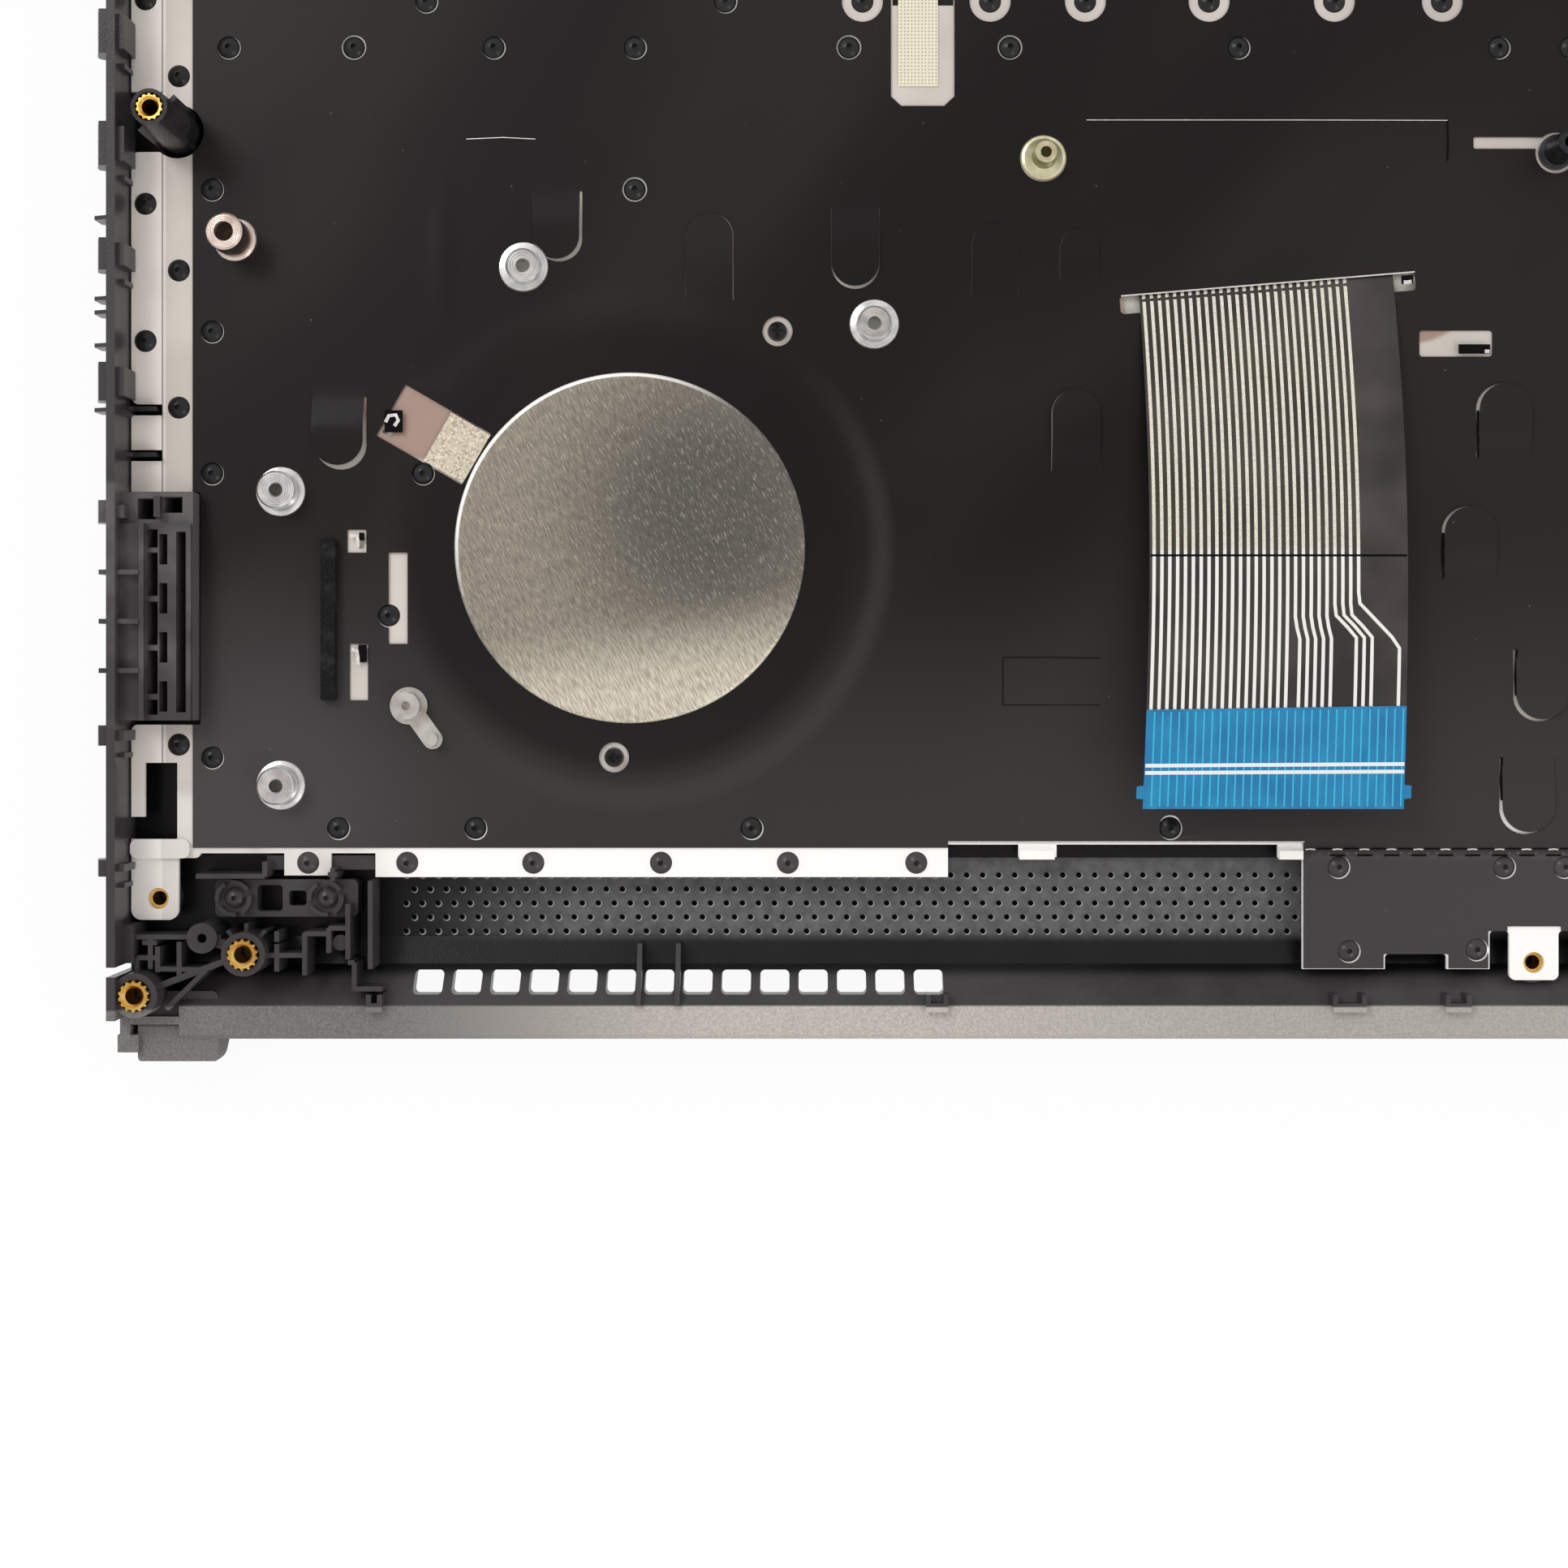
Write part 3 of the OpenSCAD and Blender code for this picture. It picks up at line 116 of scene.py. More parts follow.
class Shade:
    """A material's node tree."""

    def __init__(self, name, tree=None):
        if tree is None:
            self.material = bpy.data.materials.new(name)
            self.material.use_nodes = True
            tree = self.material.node_tree
        self.tree = tree
        self.tree.nodes.clear()

    def node(self, kind, settings=None, sockets=None, out=0):
        """Adds a node: its settings are set first, then the values or links of its sockets."""
        made = self.tree.nodes.new(kind)
        for key, value in (settings or {}).items():
            if key == "stops":
                ramp = made.color_ramp
                ends = [ramp.elements[0], ramp.elements[1]]
                for element, (place, colour) in zip(ends, (value[0], value[-1])):
                    element.position = place
                    element.color = (*colour, 1)
                for place, colour in value[1:-1]:
                    ramp.elements.new(place).color = (*colour, 1)
            else:
                setattr(made, key, value)
        for key, value in (sockets or {}).items():
            if isinstance(value, Wire):
                self.tree.links.new(value.socket, made.inputs[key])
            elif isinstance(value, tuple) and len(value) == 3 and made.inputs[key].type == "RGBA":
                made.inputs[key].default_value = (*value, 1)
            else:
                made.inputs[key].default_value = value
        return Wire(self, made.outputs[out])

    def place(self):
        """Object coordinates, in metres."""
        return self.node("ShaderNodeTexCoord", out="Object")

    def axis(self, which, vector=None):
        return self.node("ShaderNodeSeparateXYZ", {}, {0: vector or self.place()}, out=which)

    def laid(self, stretch=(1, 1, 1), turn=0.0):
        """Object coordinates turned about Z by turn degrees, then stretched."""
        turned = self.node(
            "ShaderNodeMapping", {"vector_type": "POINT"},
            {"Vector": self.place(), "Rotation": (0, 0, math.radians(turn))},
        )
        return self.node("ShaderNodeVectorMath", {"operation": "MULTIPLY"}, {0: turned, 1: stretch})

    def noise(self, size, detail=2.0, rough=0.5, vector=None):
        """Noise with features about size millimetres across."""
        return self.node(
            "ShaderNodeTexNoise", {},
            {"Vector": vector or self.place(), "Scale": 1000 / size, "Detail": detail, "Roughness": rough},
        )

    def cells(self, size):
        """Distance to the nearest of scattered points, about size millimetres apart."""
        return self.node(
            "ShaderNodeTexVoronoi", {"feature": "F1"}, {"Vector": self.place(), "Scale": 1000 / size},
        )

    def mix(self, factor, a, b):
        """Colour a where factor is 0 and b where it is 1."""
        return self.node("ShaderNodeMix", {"data_type": "RGBA"}, {0: factor, 6: a, 7: b}, out=2)

    def ring_distance(self, places):
        """Distance in metres, seen from above, to the nearest of these places in millimetres."""
        flat = self.laid((1, 1, 0))
        nearest = None
        for x, y in places:
            far = self.node(
                "ShaderNodeVectorMath", {"operation": "DISTANCE"},
                {0: flat, 1: (x * MM, y * MM, 0)}, out="Value",
            )
            nearest = far if nearest is None else nearest.math("MINIMUM", far)
        return nearest

    def bump(self, height, depth):
        """Relief of depth millimetres where height goes from 0 to 1."""
        return self.node("ShaderNodeBump", {}, {"Height": height, "Distance": depth * MM, "Strength": 1.0})

    def finish(self, colour, rough, metal=0.0, normal=None, specular=0.5, coat=0.0):
        """The material with these values or links on its shader."""
        sockets = {
            "Base Color": colour, "Roughness": rough, "Metallic": metal,
            "Specular IOR Level": specular, "Coat Weight": coat, "Coat Roughness": 0.1,
        }
        if normal is not None:
            sockets["Normal"] = normal
        shader = self.node("ShaderNodeBsdfPrincipled", {}, sockets)
        self.node_out(shader, "ShaderNodeOutputMaterial")
        return self.material

    def node_out(self, shader, kind):
        out = self.tree.nodes.new(kind)
        self.tree.links.new(shader.socket, out.inputs["Surface"])


def srgb(r, g, b):
    """A colour as it reads on the screen, 0 to 255, in the shader's linear scale."""
    c = np.array([r, g, b]) / 255
    return tuple(float(v) for v in np.where(c <= 0.04045, c / 12.92, ((c + 0.055) / 1.055) ** 2.4))


# ---------------------------------------------------------------- finishes
def grille_marks(s):
    """The grille's holes, painted black inside as painted shade, and painted highlights on their lower right
    rims: rows 1.79 mm apart, every other one shifted.
    """
    row = (s.axis("Y") * -1 - 0.1078) / 0.00179
    nearest = row.math("ROUND")
    across = (s.axis("X").math("ABSOLUTE") * -1 + 0.143) / 0.00205 - nearest.math("MODULO", 2.0) * 0.5
    u = (across - across.math("ROUND")) * 2.05
    v = (row - nearest) * 1.79
    inside_grille = nearest.math("COMPARE", 2.0, 2.5) * across.within(-0.6, -0.4) * across.within(56.6, 56.4)
    hole = (u * u + v * v).math("SQRT").within(0.38, 0.34) * inside_grille
    u = u - 0.08
    v = v - 0.08
    rim = (u * u + v * v).math("SQRT").within(0.46, 0.40) * inside_grille
    return hole, rim


def moulded_plastic():
    """Glossy black moulded cover with grain: painted shade in its depths, painted highlights on crests,
    painted sheen on the grille floor, and a greyer lip with painted light.
    """
    s = Shade("moulded_plastic")
    grain = s.noise(0.28, 2)
    mottle = s.noise(9, 3)
    dust = s.noise(1.1, 3)
    x = s.axis("X")
    y = s.axis("Y")
    z = s.axis("Z")
    lip = (y.within(-0.1236, -0.1239) * z.within(0.0066, 0.0070)).math("MAXIMUM", y.within(-0.1262, -0.1266))
    floor = z.within(0.0024, 0.0018)
    comb_area = (x.math("ABSOLUTE").within(0.1630, 0.1640)
                 * y.within(-0.0890, -0.0880) * y.within(-0.0580, -0.0590))
    shell = x.math("ABSOLUTE").within(0.1760, 0.1764).math("MAXIMUM", y.within(-0.1030, -0.1036))
    # Painted light: faces above about 3 mm are lightened, most on the comb and the outer walls, so the depths
    # stay dark as painted shade.
    raised = z.within(0.0030, 0.0044) * (comb_area.math("MAXIMUM", shell) * 0.8 + 0.2)
    crest_painted_highlight = z.within(0.0086, 0.0094)
    # Painted sheen: the grille floor is lightened near the plate's edge and made patchy by a noise.
    sheen = floor * y.within(-0.1165, -0.1145) * x.math("ABSOLUTE").within(0.1440, 0.1180)
    hole, rim = grille_marks(s)
    colour = s.mix(mottle, srgb(12, 12, 13), srgb(22, 22, 23))
    # Painted highlights on raised faces, the comb's tops and crests.
    colour = s.mix(raised * (mottle.within(0.3, 0.7) * 0.3 + 0.7), colour, srgb(70, 67, 69))
    colour = s.mix(comb_area * raised * 0.8, colour, srgb(108, 102, 103))
    colour = s.mix(crest_painted_highlight * mottle.within(0.25, 0.6), colour, srgb(64, 61, 63))
    # Painted sheen on the grille floor.
    colour = s.mix(sheen * (dust.within(0.2, 0.8) * 0.4 + 0.6), colour, srgb(104, 103, 104))
    # Painted highlight on each grille hole's lower right rim, then painted shade inside the holes.
    colour = s.mix(rim * floor, colour, srgb(150, 150, 151))
    colour = s.mix(hole * floor * z.within(0.0002, 0.0004), colour, srgb(4, 4, 4))
    # The lip: a greyer textured finish, with painted light that is brightest either side of the middle and
    # dimmer at the ends.
    lip_finish_and_painted_light = s.mix(x.math("ABSOLUTE").within(0.1500, 0.1000), srgb(104, 102, 101), srgb(196, 189, 182))
    lip_finish_and_painted_light = s.mix(x.math("ABSOLUTE").within(0.0800, 0.0300) * 0.6, lip_finish_and_painted_light, srgb(160, 155, 152))
    colour = s.mix(lip, colour, s.mix(grain.within(0.3, 0.7) * 0.5, lip_finish_and_painted_light, srgb(140, 137, 134)))
    rough = mottle * 0.16 + 0.2 + lip * 0.36 + sheen * 0.16
    return s.finish(colour, rough, normal=s.bump(grain, 0.02), specular=0.26)


def sheet_steel():
    """Plated sheet: soft pale satin with fine rolling lines and the pressed fold line near its side edge,
    with painted light and shade.
    """
    s = Shade("sheet_steel")
    rolling = s.noise(0.5, 3, vector=s.laid((6, 0.25, 1)))
    cloud = s.noise(14, 3)
    speck = s.cells(0.45).within(0.16, 0.05)
    side = s.axis("X").math("ABSOLUTE")
    folded = s.axis("Y").within(-0.0945, -0.0935)
    groove = (side - 0.1730).math("ABSOLUTE").within(0.00012, 0.00002) * folded
    fold_painted_highlight = (side - 0.1727).math("ABSOLUTE").within(0.00022, 0.00006) * folded
    rear = s.axis("Y").within(-0.0960, -0.0985)
    outer_painted_highlight = side.within(0.1729, 0.1731)
    painted_rosy_reflection = s.ring_distance([(-140.0, -47.0), (-52.0, -35.6), (-15.4, -32.4)]).within(0.0084, 0.0076)
    colour = s.mix(cloud.within(0.3, 0.7), srgb(200, 193, 185), srgb(216, 209, 202))
    # Painted highlights: the outer strip and the rear strip, the rear brightest in its middle, are lightened
    # nearly to white and made less metallic.
    colour = s.mix(outer_painted_highlight * 0.8, colour, srgb(250, 243, 237))
    colour = s.mix(rear * (side.within(0.1500, 0.1420) * 0.6 + 0.4), colour, srgb(252, 251, 248))
    # Painted reflection: rosy patches round three places on the plate.
    colour = s.mix(painted_rosy_reflection, colour, srgb(168, 144, 132))
    # Painted shade in the fold line's groove and a painted highlight beside it.
    colour = s.mix(groove, colour, srgb(140, 133, 128))
    colour = s.mix(fold_painted_highlight * 0.6, colour, srgb(240, 236, 231))
    colour = s.mix(speck * 0.12, colour, srgb(170, 162, 150))
    rough = rolling * 0.12 + cloud * 0.1 + 0.5
    metal = (rear * 0.4).math("MAXIMUM", outer_painted_highlight * 0.4) * -1 + 0.45
    return s.finish(colour, rough, metal=metal, normal=s.bump(rolling - groove, 0.012))


def black_film():
    """Warm black polyester film: satin, with painted sheen in broad faint bands, painted light and shade,
    dust and a very fine grain.
    """
    s = Shade("black_film")
    bands = s.noise(34, 2, vector=s.laid((1.0, 0.38, 1), 38))
    dust = s.cells(2.6).within(0.045, 0.02) * s.noise(5).within(0.5, 0.62)
    grain = s.noise(0.2, 2)
    x = s.axis("X")
    y = s.axis("Y")
    rear = y.within(-0.062, -0.100)
    left = x.within(-0.130, -0.160) * rear
    far = s.ring_distance([DISC])
    lower_right = ((x + 0.114) * 0.7 - (y + 0.0661) * 0.7).within(-0.006, 0.024)
    press = (far - 0.0317).math("ABSOLUTE").within(0.0022, 0.0002) * lower_right
    disc_painted_shade = far.within(0.031, 0.026)
    # Painted sheen in broad faint bands.
    colour = s.mix(bands.within(0.36, 0.64), srgb(18, 14, 15), srgb(34, 28, 28))
    # Painted light: lighter towards the rear, more over the bracket and at the rear left.
    colour = s.mix(rear * 0.8, colour, srgb(56, 54, 54))
    colour = s.mix(y.within(-0.1045, -0.1055), colour, srgb(66, 61, 62))
    colour = s.mix(left * 0.8, colour, srgb(72, 71, 71))
    # Painted shade round the disc.
    colour = s.mix(disc_painted_shade * 0.8, colour, srgb(12, 8, 9))
    # The ring is embossed in the film's shape; its lower right arc is a painted highlight.
    colour = s.mix(press * 0.35, colour, srgb(66, 62, 61))
    colour = s.mix(dust * 0.55, colour, srgb(150, 142, 135))
    rough = bands * 0.14 + 0.32
    return s.finish(colour, rough, normal=s.bump(grain, 0.004), specular=0.22)


def printed_film():
    """The ribbon's dark glossy film."""
    s = Shade("printed_film")
    weave = s.noise(0.35, 2, vector=s.laid((1, 3, 1)))
    cloud = s.noise(11, 2)
    colour = s.mix(cloud.within(0.3, 0.7), srgb(44, 40, 39), srgb(70, 65, 62))
    return s.finish(colour, cloud * 0.12 + 0.24, normal=s.bump(weave, 0.004), specular=0.4)


def trace_silver():
    """Printed conductor: cream, chalky, with grain, and painted light past the ribbon's crease."""
    s = Shade("trace_silver")
    grain = s.noise(0.16, 2)
    y = s.axis("Y")
    colour = s.mix(grain.within(0.3, 0.7), srgb(206, 200, 182), srgb(240, 236, 222))
    # Painted light: the traces are whiter past the ribbon's crease.
    colour = s.mix(y.within(-0.066, -0.0675), colour, srgb(238, 238, 234))
    return s.finish(colour, grain * 0.2 + 0.35, metal=0.15, normal=s.bump(grain, 0.006))


def blue_stiffener():
    """Clear blue film glued under the ribbon's end, with faint lighter streaks."""
    s = Shade("blue_stiffener")
    cloud = s.noise(4, 2)
    across = s.noise(1.4, 2, vector=s.laid((1, 0.15, 1)))
    colour = s.mix(cloud.within(0.3, 0.7), srgb(18, 112, 166), srgb(22, 128, 180))
    colour = s.mix(across.within(0.5, 0.75) * 0.25, colour, srgb(48, 168, 204))
    return s.finish(colour, cloud * 0.12 + 0.18, coat=0.4, normal=s.bump(across, 0.008))


def cyan_print():
    s = Shade("cyan_print")
    grain = s.noise(0.2, 2)
    colour = s.mix(grain, srgb(20, 168, 208), srgb(60, 196, 226))
    return s.finish(colour, grain * 0.1 + 0.28, normal=s.bump(grain, 0.004))


def white_print():
    s = Shade("white_print")
    grain = s.noise(0.2, 2)
    colour = s.mix(grain, srgb(214, 222, 226), srgb(244, 247, 248))
    return s.finish(colour, grain * 0.1 + 0.4, normal=s.bump(grain, 0.004))


def brushed_disc():
    """Beige silver disc brushed on a slant: long fine scratches, short painted glints, painted shade on one
    side, a painted glow low down and a painted highlight on its rim.
    """
    s = Shade("brushed_disc")
    lay = s.laid((1, 0.11, 1), -27)
    scratch = s.noise(0.17, 3, vector=lay)
    streak = s.noise(0.19, 2, 0.6, vector=s.laid((1, 0.16, 1), -27))
    glint = streak.within(0.57, 0.68)
    x = s.axis("X") - DISC[0] * MM
    y = s.axis("Y") - DISC[1] * MM
    # Painted shade on one side, a painted glow low down and a painted highlight on the upper left rim.
    shade = s.ring_distance([(DISC[0] + 10, DISC[1] + 5)]).within(0.026, 0.005)
    glow = (y + x * -0.15).within(-0.007, -0.020)
    edge = s.ring_distance([DISC]).within(0.0215, 0.0217) * (y * 0.8 - x * 0.6).within(0.004, 0.018)
    colour = s.mix(shade, srgb(160, 152, 138), srgb(104, 101, 95))
    colour = s.mix(glow, colour, srgb(232, 225, 206))
    colour = s.mix(scratch.within(0.38, 0.62) * 0.44, colour, srgb(70, 67, 62))
    # Painted glints.
    colour = s.mix(glint * 0.34, colour, srgb(236, 230, 214))
    colour = s.mix(edge, colour, srgb(252, 250, 244))
    rough = scratch * 0.1 - glint * 0.14 + 0.46
    return s.finish(colour, rough, metal=0.7, normal=s.bump(scratch, 0.02))


def speckled_cloth():
    """Conductive cloth: cream metal plated threads with dark gaps between them."""
    s = Shade("speckled_cloth")
    gap = s.noise(0.3, 2, 0.6).within(0.52, 0.66)
    thread = s.cells(0.34)
    colour = s.mix(thread.within(0.1, 0.6), srgb(238, 230, 212), srgb(206, 196, 176))
    colour = s.mix(gap * 0.7, colour, srgb(160, 149, 132))
    return s.finish(colour, thread * 0.2 + 0.5, metal=0.25, normal=s.bump(gap * -1 + 1, 0.05))


def woven_cloth():
    """Cream cloth strip: a slanted plain weave, threads crossing over and under."""
    s = Shade("woven_cloth")
    turned = s.laid((1, 1, 1), 45)
    u = s.axis("X", turned) * (TAU * 1000 / 0.62)
    v = s.axis("Y", turned) * (TAU * 1000 / 0.62)
    over = u.math("SINE") * v.math("SINE")
    hole = over.within(-0.35, -0.9)
    fray = s.noise(0.25, 2)
    colour = s.mix(fray, srgb(226, 216, 190), srgb(246, 240, 222))
    colour = s.mix(hole * 0.75, colour, srgb(112, 100, 82))
    return s.finish(colour, fray * 0.2 + 0.55, metal=0.1, normal=s.bump(over, 0.05))


def turned_metal(name, dark, light, places, pitch=0.16, rough=0.2, metal=1.0, ring_depth=0.006):
    """Turned metal: fine rings round each place's axis and faint cloudy stains."""
    s = Shade(name)
    far = s.ring_distance(places)
    rings = (far * (TAU * 1000 / pitch)).math("SINE") * 0.5 + 0.5
    cloud = s.noise(1.6, 3)
    colour = s.mix(cloud.within(0.3, 0.7), dark, light)
    colour = s.mix(rings * 0.18, colour, tuple(c * 0.72 for c in dark))
    return s.finish(colour, cloud * 0.14 + rings * 0.05 + rough, metal=metal,
                    normal=s.bump(rings, ring_depth))


def porous_foam():
    s = Shade("porous_foam")
    pore = s.cells(0.4)
    broad = s.noise(2.2, 2)
    colour = s.mix(pore.within(0.1, 0.5), srgb(26, 25, 26), srgb(10, 10, 11))
    colour = s.mix(broad.within(0.5, 0.75) * 0.4, colour, srgb(60, 58, 58))
    return s.finish(colour, broad * 0.1 + 0.8, normal=s.bump(pore, 0.12), specular=0.25)


def plain_plastic(name, dark, light, rough=0.4, grain_size=0.3, depth=0.02):
    """Plain moulded plastic or rubber: fine grain over a faint mottling."""
    s = Shade(name)
    grain = s.noise(grain_size, 2)
    mottle = s.noise(5, 2)
    return s.finish(s.mix(mottle, dark, light), mottle * 0.15 + rough, normal=s.bump(grain, depth))


def edge_shadow():
    """Painted shadow: the dark line in a cut of the film, in the plate's slots and along the ribbon's crease.
    """
    s = Shade("edge_shadow")
    grain = s.noise(0.5, 2)
    return s.finish(s.mix(grain, srgb(5, 4, 5), srgb(12, 10, 11)), grain * 0.1 + 0.7, specular=0.1)


def cut_edge():
    """Painted highlight: the film's or plate's cut edge where it catches the light."""
    s = Shade("cut_edge")
    grain = s.noise(0.6, 2)
    return s.finish(s.mix(grain, srgb(190, 184, 180), srgb(250, 247, 244)), grain * 0.2 + 0.3, metal=0.4)


# ---------------------------------------------------------------- shapes
def piece(name, points, faces, material, slot, nodes=(), sharp=35):
    """Puts points in millimetres and faces into a mesh that rides on the case."""
    mesh = bpy.data.meshes.new(name)
    if isinstance(faces, np.ndarray):
        faces = faces.tolist()
    mesh.from_pydata((np.asarray(points, float) * MM).tolist(), [], [tuple(face) for face in faces])
    mesh.update()
    mesh.shade_smooth()
    mesh.set_sharp_from_angle(angle=math.radians(sharp))
    mesh.materials.append(material)
    made = bpy.data.objects.new(name, mesh)
    scene.collection.objects.link(made)
    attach(made, "case")
    if nodes:
        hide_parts(*nodes)
    return made


def grid_faces(rows, cols, wrap=False):
    """Four-sided faces over a grid of rows by cols points, closed round the columns if wrap."""
    r, c = np.meshgrid(np.arange(rows - 1), np.arange(cols if wrap else cols - 1), indexing="ij")
    n = (c + 1) % cols
    a, b = r * cols + c, r * cols + n
    return np.stack([a, b, b + cols, a + cols], -1).reshape(-1, 4)


def turned(profile, places, steps=48, wave=None):
    """Each place's closed profile of (radius, height) carried round its axis.

    wave(angle, row) may scale the radius of each profile point, for knurls.
    """
    profile = np.asarray(profile, float)
    angle = np.arange(steps) / steps * TAU
    radius = np.repeat(profile[:, :1], steps, 1)
    if wave is not None:
        radius = radius * wave(angle[None, :], np.arange(len(profile))[:, None])
    ring = np.stack([radius * np.cos(angle), radius * np.sin(angle), np.repeat(profile[:, 1:], steps, 1)], -1)
    shell = grid_faces(len(profile), steps, wrap=True)
    last = (len(profile) - 1) * steps
    k = np.arange(steps)
    n = (k + 1) % steps
    closing = np.stack([last + k, last + n, n, k], -1)
    faces = np.concatenate([shell, closing])
    points, all_faces = [], []
    for i, (x, y) in enumerate(places):
        points.append(ring.reshape(-1, 3) + (x, y, 0))
        all_faces.append(faces + i * ring.shape[0] * steps)
    return np.concatenate(points), np.concatenate(all_faces)


def thick_sheet(top, thickness):
    """A grid of points as a sheet's top, with its underside thickness below and its four edges closed."""
    rows, cols = top.shape[:2]
    under = top - (0, 0, thickness)
    n = rows * cols
    face = grid_faces(rows, cols)
    index = np.arange(n).reshape(rows, cols)
    border = np.concatenate([index[0, :-1], index[:-1, -1], index[-1, :0:-1], index[:0:-1, 0]])
    after = np.roll(border, -1)
    rim = np.stack([border, border + n, after + n, after], -1)
    faces = np.concatenate([face[:, ::-1], face + n, rim])
    return np.concatenate([top.reshape(-1, 3), under.reshape(-1, 3)]), faces


def strips(lines):
    """Flat strips: each line is points (N x 3) and a width, or N widths, set off sideways in the plane."""
    points, faces, start = [], [], 0
    for path, width in lines:
        path = np.asarray(path, float)
        run = np.gradient(path[:, :2], axis=0)
        run /= np.linalg.norm(run, axis=1, keepdims=True) + 1e-12
        half = (np.ones(len(path)) * width)[:, None] / 2
        side = np.stack([-run[:, 1], run[:, 0], np.zeros(len(run))], -1) * half
        points.append(np.concatenate([path + side, path - side]))
        k = np.arange(len(path) - 1) + start
        m = k + len(path)
        faces.append(np.stack([k, m, m + 1, k + 1], -1))
        start += 2 * len(path)
    return np.concatenate(points), np.concatenate(faces)


def circle(x, y, r, n=28):
    """A closed loop of n points."""
    a = np.arange(n) / n * TAU
    return np.stack([x + r * np.cos(a), y + r * np.sin(a)], -1)


def rectangle(x0, y0, x1, y1, r=0.0):
    """A rectangle between two corners, its own corners rounded by r with five points each."""
    if r <= 0:
        return np.array([[x0, y0], [x1, y0], [x1, y1], [x0, y1]], float)
    a = np.linspace(0, TAU / 4, 5)
    parts = []
    centres = ((x1 - r, y1 - r), (x0 + r, y1 - r), (x0 + r, y0 + r), (x1 - r, y0 + r))
    for start, (cx, cy) in enumerate(centres):
        t = a + start * TAU / 4
        parts.append(np.stack([cx + r * np.cos(t), cy + r * np.sin(t)], -1))
    return np.concatenate(parts)


def turn_points(points, x, y, degrees):
    """Points turned by degrees about the origin and then moved to x, y."""
    a = math.radians(degrees)
    m = np.array([[math.cos(a), math.sin(a)], [-math.sin(a), math.cos(a)]])
    return points @ m + (x, y)


def inside(loop, p):
    """Which points p lie inside the closed loop, by counting the edges that a ray crosses."""
    hit = np.zeros(len(p), bool)
    near = np.all((p >= loop.min(0)) & (p <= loop.max(0)), axis=1)
    q = p[near]
    if not len(q):
        return hit
    a, b = loop, np.roll(loop, -1, axis=0)
    with np.errstate(divide="ignore", invalid="ignore"):
        spans = (a[:, 1] > q[:, 1:]) != (b[:, 1] > q[:, 1:])
        cross = a[:, 0] + (q[:, 1:] - a[:, 1]) / (b[:, 1] - a[:, 1]) * (b[:, 0] - a[:, 0])
        hit[near] = np.sum(spans & (q[:, :1] < cross), axis=1) % 2 == 1
    return hit


def far_from(loop, p, gap):
    """Which points p lie farther than gap from every edge of the closed loop."""
    good = np.ones(len(p), bool)
    near = np.all((p >= loop.min(0) - gap) & (p <= loop.max(0) + gap), axis=1)
    q = p[near][:, None]
    a, b = loop[None], np.roll(loop, -1, axis=0)[None]
    along = np.clip(np.sum((q - a) * (b - a), -1) / (np.sum((b - a) ** 2, -1) + 1e-12), 0, 1)[..., None]
    good[near] = np.min(np.linalg.norm(q - (a + along * (b - a)), axis=-1), axis=1) > gap
    return good


def low(node):
    """A node's lowest corner, in millimetres."""
    return np.array(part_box(node)[0]) / MM


def high(node):
    """A node's highest corner, in millimetres."""
    return np.array(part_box(node)[1]) / MM


# ---------------------------------------------------------------- the frame's own sizes
FILM_TOP = high("insulating_film")[2]
PLATE_TOP = high("keyboard_plate")[2]
FILM_X = high("insulating_film")[0]
FILM_FRONT = high("insulating_film")[1]
BRACKET_REAR = low("insulating_film")[1]
FRONT_BAR = FILM_FRONT - 10.5
REAR_BAR = FRONT_BAR - 98.4
BARS = [REAR_BAR] + [REAR_BAR + step for step in (8.9, 26.8, 44.7, 62.6, 80.5)] + [FRONT_BAR]
FILM_REAR = REAR_BAR - 2.5
BRACKET_X = 29.1
COMB_REAR = BARS[1] + 4.1
COMB_FRONT = BARS[1] + 33.5
COMB_X = 168.1
SIDE_STAKE_X = 166.7
RING_Y = FRONT_BAR + 5.8
STAKES = (
    [(x, FRONT_BAR) for x in (-164.6, -148.8, -131.2, -113.4, -86.4, -66.1, -37.3, -4.5)]
    + [(x, REAR_BAR) for x in (-150.8, -133.5, -98.7, -45.9)]
    + [(-SIDE_STAKE_X, BARS[i]) for i in (1, 3, 4, 5)]
    + [(-113.4, BARS[5]), (-140.1, BARS[3]), (-144.4, BARS[2]), (-139.7, RING_Y), (-102, RING_Y)]
)
RING_STAKES = [(x, RING_Y) for x in (-84.7, -68.6, -56.6, -41, -25.2, -11.6)]
BRACKET_STAKES = [(-24.7, REAR_BAR - 4.9), (-3.8, REAR_BAR - 4.9),
                  (-23.4, REAR_BAR - 15.5), (-7.3, REAR_BAR - 15.3)]
FULL_RINGS = (1, 4, 5, 16)
SCREWS = [(-95.4, BARS[4]), (-116, BARS[1])]
FLANGES = [(-127.4, FRONT_BAR - 27.7), (-83.2, FRONT_BAR - 34.9),
           (-158, FRONT_BAR - 56), (-158, FRONT_BAR - 93)]
TALL = (-163.7, FRONT_BAR - 24.3)
YELLOW = (-61.9, FRONT_BAR - 14)
POST = (2.7, FRONT_BAR - 13.3)
LOCATE = (-141.8, FRONT_BAR - 83)
PIN = (-138.8, FRONT_BAR - 87.2)
DISC = (-114.0, FRONT_BAR - 63.1)
DISC_R = 22.1
TALL_BOSS = (-171.1, FRONT_BAR - 10.56)
BOSS_CLEAR = 3.4
SLOT = (-33.6, FRONT_BAR - 31.0)
SLOT_TURN = 4.7  # degrees
FILM_THICK = 0.17
REAR_Y = REAR_BAR - 26.5
HINGE_A = (-161.8, REAR_Y + 11)
HINGE_B = (-175.0, REAR_Y + 6)
